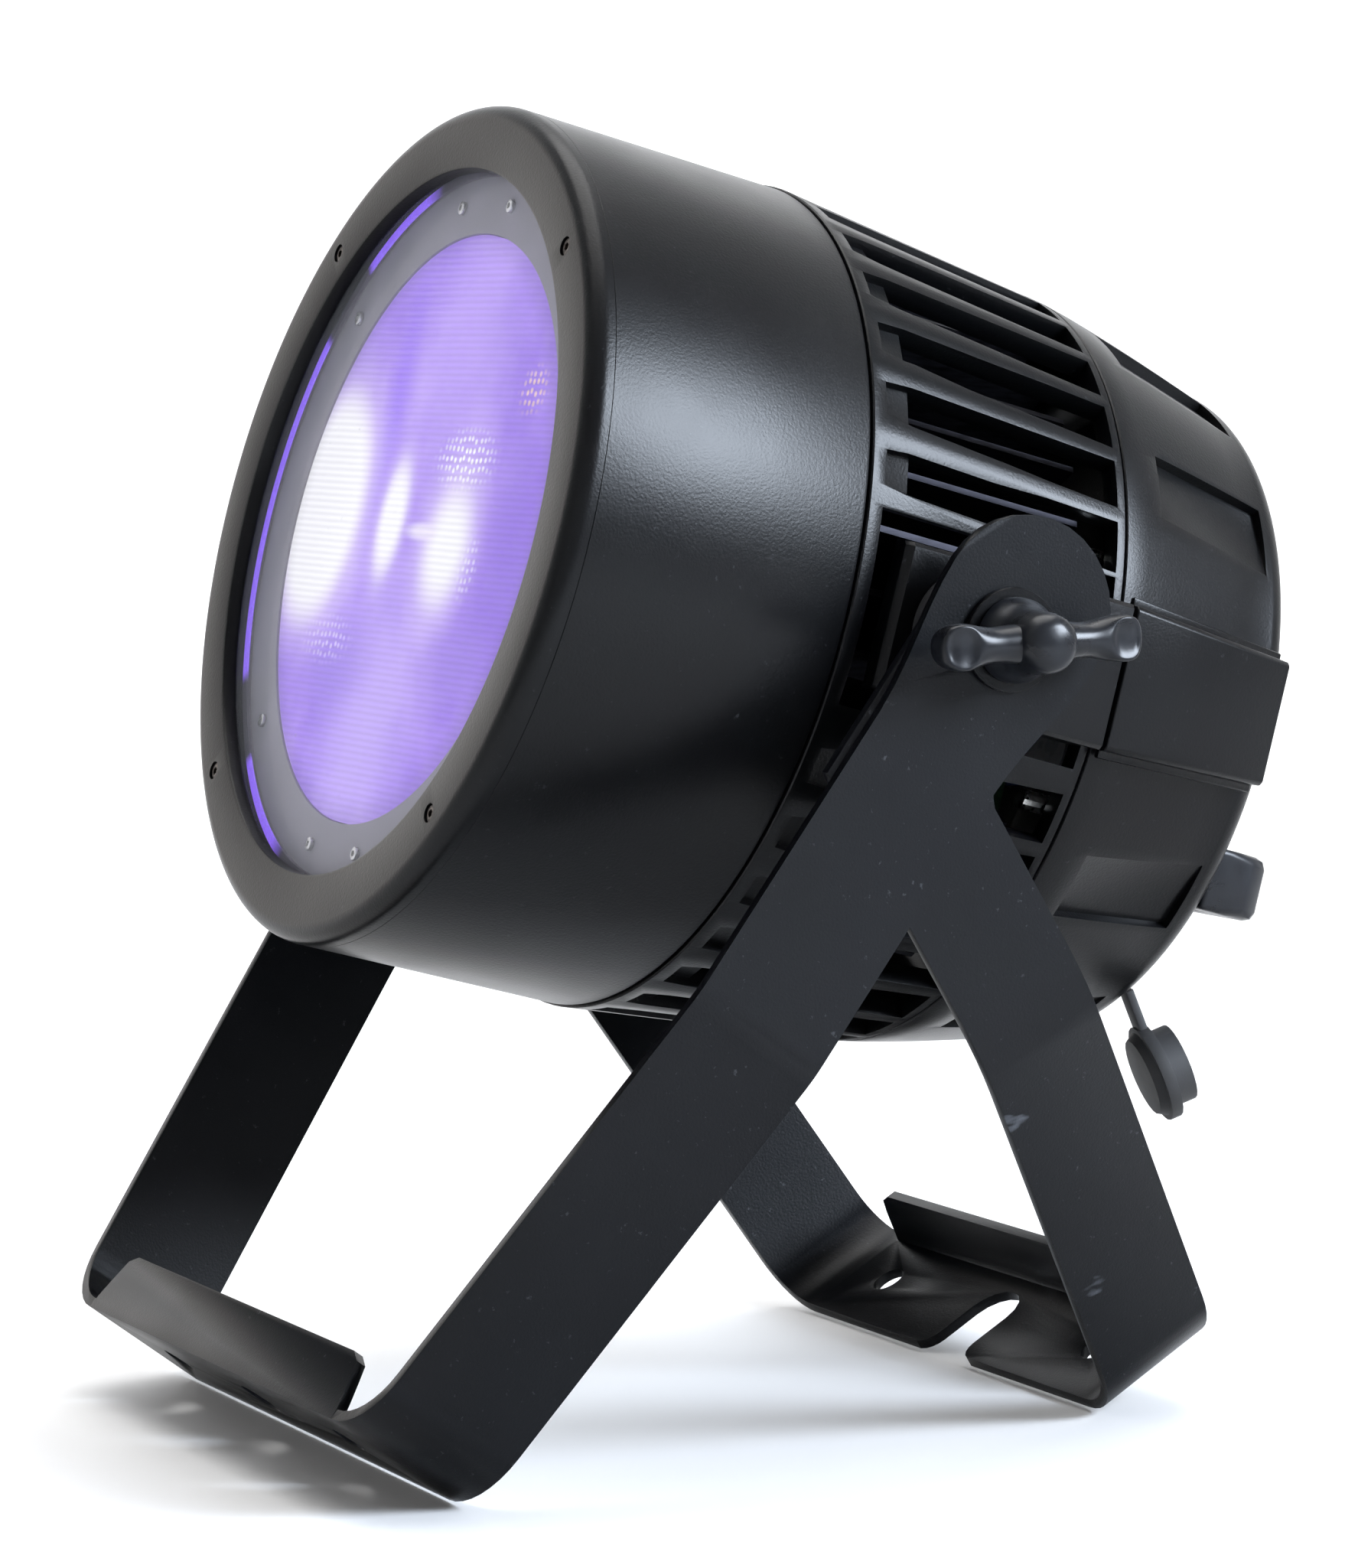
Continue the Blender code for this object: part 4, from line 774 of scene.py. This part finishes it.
rubber = moulded_rubber("moulded_black_rubber", "#131314", "#1f1f21", 0.62)
SIDES = {"right": Matrix.Translation(PIVOT) @ Matrix.Rotation(math.pi / 2, 4, "Z"),
         "left": Matrix.Translation(PIVOT) @ Matrix.Rotation(-math.pi / 2, 4, "Z")}
MIDDLE = Vector((0, 0, 0))
for side, place in SIDES.items():
    outline = [(0.1183, 0.0043), (0.1183, 0.0172), (0.1191, 0.0180), (0.1238, 0.0180),
               (0.1244, 0.0174), (0.1256, 0.0174), (0.1262, 0.0180), (0.1318, 0.0180),
               (0.1334, 0.0166), (0.1334, 0.0043), (0.1183, 0.0043)]
    pad = turn(trace("grip_pad_" + side, outline, MIDDLE), 96, MIDDLE)
    finish_piece(pad, rubber, "head", "black_rubber", "friction_pad_" + side, place=place)
    outline = [(0.1403, 0.0044), (0.1403, 0.0137), (0.1406, 0.0140), (0.1420, 0.0140),
               (0.1423, 0.0137), (0.1423, 0.0044), (0.1403, 0.0044)]
    washer = turn(trace("flat_washer_" + side, outline, MIDDLE), 96, MIDDLE)
    finish_piece(washer, cast_coat, "knob_" + side, "dark_screw", "knob_washer_" + side,
                 place=place)
    outline = [(0.1070, 0.0), (0.1070, 0.0034), (0.1076, 0.0040)]
    # rolled thread, drawn as plain 1.25 mm grooves
    outline += [(0.1085 + 0.00125 * k / 2, 0.0040 if k % 2 else 0.0036) for k in range(18)]
    outline += [(0.1210, 0.0040), (0.1570, 0.0040), (0.1576, 0.0034), (0.1576, 0.0)]
    stud = turn(trace("knob_stud_" + side, outline, MIDDLE), 32, MIDDLE)
    finish_piece(stud, zinc, "knob_" + side, "bright_steel", "pivot_stud_" + side,
                 place=place)


# ------------------------------------------------------------------ wing knobs
# Glass-filled nylon, moulded round the stud's brass insert: a domed hub with
# two dished wings for finger and thumb.  Moulding leaves it dull with a sheen.
def glass_filled_nylon(name, dark, light):
    mat, shader = new_material(name, specular_ior_level=0.2)
    where = add(mat, "TexCoord")
    flow = add(mat, "TexNoise", [("Vector", where, "Object")],
               values={"Scale": 70.0, "Detail": 6.0, "Roughness": 0.6, "Distortion": 0.8})
    tone = ramp(mat, flow, "Fac", [(0.3, dark), (0.7, light)])
    link(mat, tone, "Color", shader, "Base Color")
    sheen = ramp(mat, flow, "Fac", [(0.3, 0.24), (0.75, 0.36)])
    link(mat, sheen, "Color", shader, "Roughness")
    skin = add(mat, "TexNoise", [("Vector", where, "Object")],
               values={"Scale": 900.0, "Detail": 3.0})
    bump = add(mat, "Bump", [("Height", skin, "Fac")],
               values={"Strength": 0.16, "Distance": 0.00008})
    link(mat, bump, "Normal", shader, "Normal")
    return mat


nylon = glass_filled_nylon("glass_filled_nylon", "#0b0c0f", "#14161a")


def wing_knob(name):
    """Drawn with its axis along the beam direction and its wings along X."""
    bpy.ops.object.select_all(action="DESELECT")
    bpy.ops.mesh.primitive_cube_add(size=1)
    knob = HERE.object
    knob.name = knob.data.name = name
    bpy.ops.object.mode_set(mode="EDIT")
    bpy.ops.transform.resize(value=(0.0150, 0.0150, 0.0120))
    bpy.ops.transform.translate(value=(0, -0.1545, 0))
    for side in (1, -1):
        pick(knob, lambda f, s=side: f.normal.x * s > 0.9, "FACE")
        for reach, tall, deep in ((0.0060, 0.78, 0.85), (0.0060, 1.32, 1.08),
                                  (0.0072, 1.10, 1.05), (0.0040, 0.60, 0.70)):
            bpy.ops.mesh.extrude_region_move(
                TRANSFORM_OT_translate={"value": (side * reach, 0, 0)})
            bpy.ops.transform.resize(value=(1, deep, tall),
                                     center_override=(0, -0.1545, 0))
        pick(knob, lambda f, s=side: f.normal.y < -0.8
             and f.calc_center_median().x * s > 0.017, "FACE")
        bpy.ops.mesh.inset(thickness=0.0016, depth=-0.0026)
    bpy.ops.object.mode_set(mode="OBJECT")
    apply_modifier(knob, "SUBSURF", levels=3, render_levels=3)
    outline = [(0.1426, 0.0), (0.1426, 0.0110), (0.1430, 0.0115), (0.1460, 0.0113),
               (0.1480, 0.0100), (0.1510, 0.0088), (0.1600, 0.0082), (0.1626, 0.0076),
               (0.1645, 0.0064), (0.1656, 0.0043), (0.1661, 0.0)]
    hub = turn(trace("hub", outline, MIDDLE), 64, MIDDLE)
    carve(knob, hub, "UNION")
    carve(knob, rod("bore", 0.0043, 0.1577, 0.1416, MIDDLE, 32))
    return knob


for side, place in SIDES.items():
    knob = wing_knob("winged_knob_" + side)
    finish_piece(knob, nylon, "knob_" + side, "knob_plastic", "wing_knob_" + side,
                 place=place, smooth=50)


# --------------------------------------------------------- heat sink and optics
# Extruded fin block, black anodised: dark, faintly violet, with die lines
# along the fins.  Behind the lens sit the reflector, LED array and boards.
def anodised(name, dark, light, rough, metal=1.0):
    mat, shader = new_material(name, metallic=metal)
    where = add(mat, "TexCoord")
    lines = add(mat, "Mapping", [("Vector", where, "Object")],
                values={"Scale": (900.0, 12.0, 900.0)})
    drawn = add(mat, "TexNoise", [("Vector", lines, 0)], values={"Scale": 1.0, "Detail": 3.0})
    tone = ramp(mat, drawn, "Fac", [(0.3, dark), (0.7, light)])
    link(mat, tone, "Color", shader, "Base Color")
    level = ramp(mat, drawn, "Fac", [(0.3, rough), (0.7, rough + 0.12)])
    link(mat, level, "Color", shader, "Roughness")
    bump = add(mat, "Bump", [("Height", drawn, "Fac")],
               values={"Strength": 0.2, "Distance": 0.00005})
    link(mat, bump, "Normal", shader, "Normal")
    return mat


def speckled(name, dark, light, rough, scale=300.0):
    mat, shader = new_material(name, roughness=rough)
    where = add(mat, "TexCoord")
    cells = add(mat, "TexNoise", [("Vector", where, "Object")],
                values={"Scale": scale, "Detail": 4.0})
    tone = ramp(mat, cells, "Fac", [(0.35, dark), (0.65, light)])
    link(mat, tone, "Color", shader, "Base Color")
    bump = add(mat, "Bump", [("Height", cells, "Fac")],
               values={"Strength": 0.15, "Distance": 0.0001})
    link(mat, bump, "Normal", shader, "Normal")
    return mat


def dress(node, mat):
    """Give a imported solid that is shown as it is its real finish."""
    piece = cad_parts[node]
    piece.data.materials.clear()
    piece.data.materials.append(mat)


dress("heat_sink", anodised("black_anodised_extrusion", "#141417", "#26262b", 0.42))
dress("heat_spreader", anodised("milled_aluminium", "#8d9094", "#b4b6b8", 0.28))
dress("power_supply", anodised("black_lacquered_case", "#0f0f11", "#1a1a1d", 0.45, 0.0))
dress("mixing_reflector", anodised("polished_aluminium", "#c4c5c6", "#e2e2e2", 0.08))
dress("led_array", speckled("phosphor_silicone", "#c9981f", "#e8c84a", 0.45, 420.0))
dress("led_board", speckled("white_solder_mask", "#c9c9c4", "#e4e4e0", 0.4))
dress("driver_board", speckled("green_solder_mask", "#0a2212", "#143a20", 0.5))
dress("lens_retainer", cast_coat)
for k in range(1, 5):
    dress("rear_standoff_{}".format(k), zinc)


# ------------------------------------------------------------------ rear panel
# Laser-cut steel plate in the rear opening with a display window, four
# rubber keys and a row of round sockets.  Coated like the straps.
PANEL_FACE = -0.1040
plate = from_frame("rear_panel", "connector_plate")
soften(plate, 0.0003, 2, 35)
finish_piece(plate, strap_coat, "head", "painted_casting", "rear_panel", place=STAY)


def display_glass(name):
    """Clear acrylic over a small panel of plain blue-white bars."""
    mat, shader = new_material(name, roughness=0.06, ior=1.49)
    shader.inputs["Base Color"].default_value = linear("#080b10")
    where = add(mat, "TexCoord")
    flat = add(mat, "Mapping", [("Vector", where, "Object")], vector_type="TEXTURE",
               values={"Location": HEAD @ Vector((0, -PANEL_FACE, 0.040)),
                       "Rotation": (math.pi / 2 - TILT, 0, 0), "Scale": (0.001, 0.001, 0.001)})
    axes = add(mat, "SeparateXYZ", [("Vector", flat, 0)])
    rows = add(mat, "TexWave", [("Vector", flat, 0)], wave_type="BANDS", bands_direction="Y",
               values={"Scale": 0.062})
    lit = ramp(mat, rows, "Fac", [(0.62, 0.0), (0.66, 1.0)])
    wide = add(mat, "Math", [(0, axes, "X")], operation="ABSOLUTE")
    tall = add(mat, "Math", [(0, axes, "Y")], operation="ABSOLUTE")
    in_x = add(mat, "Math", [(0, wide, 0)], operation="LESS_THAN", values={1: 19.0})
    in_y = add(mat, "Math", [(0, tall, 0)], operation="LESS_THAN", values={1: 9.0})
    both = add(mat, "Math", [(0, in_x, 0), (1, in_y, 0)], operation="MULTIPLY")
    bars = add(mat, "Math", [(0, both, 0), (1, lit, "Color")], operation="MULTIPLY")
    faint = add(mat, "Math", [(0, both, 0)], operation="MULTIPLY", values={1: 0.06})
    power = add(mat, "Math", [(0, bars, 0), (1, faint, 0)], operation="MAXIMUM")
    shader.inputs["Emission Color"].default_value = linear("#9fc4ff")
    link(mat, power, 0, shader, "Emission Strength")
    return mat


window = from_frame("display_window", "display_pane")
soften(window, 0.0003, 2, 35)
finish_piece(window, display_glass("clear_acrylic_display"), "head", "display_window",
             "display_window", place=STAY)
key_rubber = moulded_rubber("silicone_keypad", "#1d1d1f", "#2b2b2e", 0.5)
for k in range(4):
    x = 0.0170 * (k - 1.5)
    deep = PANEL_FACE
    outline = [(deep + 0.0053, 0.0), (deep + 0.0053, 0.0056), (deep + 0.0041, 0.0056),
               (deep + 0.0041, 0.0042), (deep - 0.0014, 0.0042), (deep - 0.0019, 0.0040),
               (deep - 0.0022, 0.0035), (deep - 0.0016, 0.0015), (deep - 0.0015, 0.0)]
    middle = Vector((x, 0, 0.0140))
    key = turn(trace("menu_key_{}".format(k + 1), outline, middle), 48, middle)
    finish_piece(key, key_rubber, "menu_button_{}".format(k + 1), "button_rubber",
                 "menu_button_{}".format(k + 1))


# --------------------------------------------------------------- panel sockets
# Moulded nylon chassis sockets with a keyed throat and three contacts each.
# Power in is blue and power out is grey, as the trade does; data is black.
blue_nylon = glass_filled_nylon("blue_nylon", "#16336b", "#23468a")
grey_nylon = glass_filled_nylon("grey_nylon", "#7b7d80", "#96989b")
brass = anodised("gilt_contact_brass", "#a9822f", "#d0aa52", 0.2)


def socket(name, x, look, slot):
    """Housing with a rim and a throat, a key inside it and three contacts."""
    middle = Vector((x, 0, -0.0165))
    face = PANEL_FACE
    outline = [(face + 0.0140, 0.0), (face + 0.0140, 0.0125), (face - 0.0003, 0.0125),
               (face - 0.0003, 0.0144), (face - 0.0006, 0.0147), (face - 0.0023, 0.0147),
               (face - 0.0027, 0.0142), (face - 0.0056, 0.0131), (face - 0.0060, 0.0127),
               (face - 0.0060, 0.0108), (face - 0.0054, 0.0103), (face + 0.0100, 0.0103),
               (face + 0.0100, 0.0)]
    body = turn(trace(name + "_housing", outline, middle), 72, middle)
    key = rod("key", 0.0016, face + 0.0102, face - 0.0050, middle + Vector((0, 0, 0.0105)), 12)
    carve(body, key, "UNION")
    finish_piece(body, look, "head", slot, name)
    for k in range(3):
        angle = math.radians(90 + 120 * k)
        at = middle + Vector((0.0052 * math.cos(angle), 0, 0.0052 * math.sin(angle)))
        outline = [(face + 0.0100, 0.0011), (face - 0.0010, 0.0011), (face - 0.0018, 0.0006),
                   (face - 0.0019, 0.0)]
        pin = turn(trace("{}_contact_{}".format(name, k + 1),
                         [(face + 0.0100, 0.0)] + outline, at), 20, at)
        finish_piece(pin, brass, "head", "bright_steel")


for name, x, look, slot in (("data_in", -0.0490, nylon, "socket_black"),
                            ("power_in", -0.0165, blue_nylon, "socket_blue"),
                            ("power_out", 0.0165, grey_nylon, "socket_grey"),
                            ("data_out", 0.0490, nylon, "socket_black")):
    socket(name, x, look, slot)


# ----------------------------------------------------------------- rear handle
# Grab bar moulded in black nylon and screwed to the rear cover's rim.  Its
# edges are well rounded for the hand.
handle = from_frame("rear_handle", "grab_bar")
soften(handle, 0.0022, 4, 50)
finish_piece(handle, nylon, "head", "handle_plastic", "rear_handle", place=STAY)


# ------------------------------------------------------------------ socket cap
# Sealing cap for an unused socket, moulded in soft rubber in one piece with
# the strap that ties it to the head.
cap = from_frame("socket_cap", "sealing_cap")
soften(cap, 0.0006, 3, 35)
finish_piece(cap, rubber, "socket_cap", "black_rubber", "socket_cap", place=STAY)


# ------------------------------------------------------------------- the stage
# Pale plain floor that curves up into a backdrop on the far side, soft boxes
# round the lamp and a camera at chest height.
AWAY = Vector((-0.8962, 0.4437, 0.0))
bpy.ops.object.select_all(action="DESELECT")
bpy.ops.mesh.primitive_plane_add(size=11.0, location=(0, 0, -0.0004))
floor = HERE.object
floor.name = floor.data.name = "pale_sweep"
bpy.ops.object.mode_set(mode="EDIT")
bpy.ops.mesh.select_mode(type="EDGE")
bm = bmesh.from_edit_mesh(floor.data)
for edge in bm.edges:
    edge.select_set(all(v.co.x < -5 for v in edge.verts))
bmesh.update_edit_mesh(floor.data)
for k in range(8):
    angle = math.radians(90 * (k + 0.5) / 8)
    bpy.ops.mesh.extrude_region_move(TRANSFORM_OT_translate={
        "value": (-0.25 * math.cos(angle), 0, 0.25 * math.sin(angle))})
bpy.ops.mesh.extrude_region_move(TRANSFORM_OT_translate={"value": (0, 0, 5.0)})
bpy.ops.mesh.select_all(action="SELECT")
bpy.ops.mesh.normals_make_consistent(inside=False)
bpy.ops.object.mode_set(mode="OBJECT")
floor.rotation_euler = (0, 0, math.atan2(AWAY.y, AWAY.x) - math.pi)
bpy.ops.object.transform_apply(location=True, rotation=True, scale=True)
bpy.ops.object.shade_smooth()
floor_mat, shader = new_material("pale_matt_floor", roughness=0.8)
where = add(floor_mat, "TexCoord")
noise = add(floor_mat, "TexNoise", [("Vector", where, "Object")], values={"Scale": 3.0})
tone = ramp(floor_mat, noise, "Fac", [(0.3, "#f3f3f3"), (0.7, "#f6f6f6")])
link(floor_mat, tone, "Color", shader, "Base Color")
floor.data.materials.append(floor_mat)


def soft_light(name, place, size, power, colour, target=PIVOT):
    bpy.ops.object.light_add(type="AREA", location=place)
    lamp = HERE.object
    lamp.name = name
    lamp.data.shape = "RECTANGLE"
    lamp.data.size, lamp.data.size_y = size
    lamp.data.energy = power
    lamp.data.color = colour
    lamp.rotation_euler = (target - Vector(place)).to_track_quat("-Z", "Y").to_euler()
    return lamp


soft_light("shoulder_softbox", PIVOT + 1.9 * Vector((0.68, 0.60, 0.43)), (0.8, 0.8), 120.0,
           (0.78, 0.87, 1.0))
soft_light("front_panel", PIVOT + 2.4 * Vector((-0.89, -0.42, 0.20)), (1.8, 1.6), 5.5,
           (1.0, 0.88, 0.76))
soft_light("overhead", (-0.7, 0.35, 3.1), (2.6, 2.6), 88.0, (1.0, 0.99, 0.98),
           Vector((-0.5, 0.25, 0)))
soft_light("backdrop_light", AWAY * 2.4 + Vector((0, 0, 3.4)), (4.0, 1.5), 210.0,
           (1.0, 1.0, 1.0), AWAY * 6.5 + Vector((0, 0, 1.2)))
world = bpy.data.worlds.new("studio")
bpy.context.scene.world = world
world.use_nodes = True
sky = world.node_tree.nodes["Background"]
sky.inputs["Color"].default_value = (0.66, 0.80, 1.0, 1.0)
sky.inputs["Strength"].default_value = 0.09
bpy.context.scene.view_settings.view_transform = "Standard"

bpy.ops.object.camera_add()
camera = HERE.object
camera.matrix_world = Matrix(((0.445598, -0.075305, 0.892060, 1.378809),
                              (0.894937, 0.063122, -0.441706, -0.687659),
                              (-0.023046, 0.995161, 0.095520, 0.323686),
                              (0.0, 0.0, 0.0, 1.0)))
camera.data.lens = 141.455
camera.data.sensor_width = 36.0
camera.data.sensor_fit = "HORIZONTAL"
camera.data.clip_start = 0.05
camera.data.clip_end = 50.0
bpy.context.scene.camera = camera
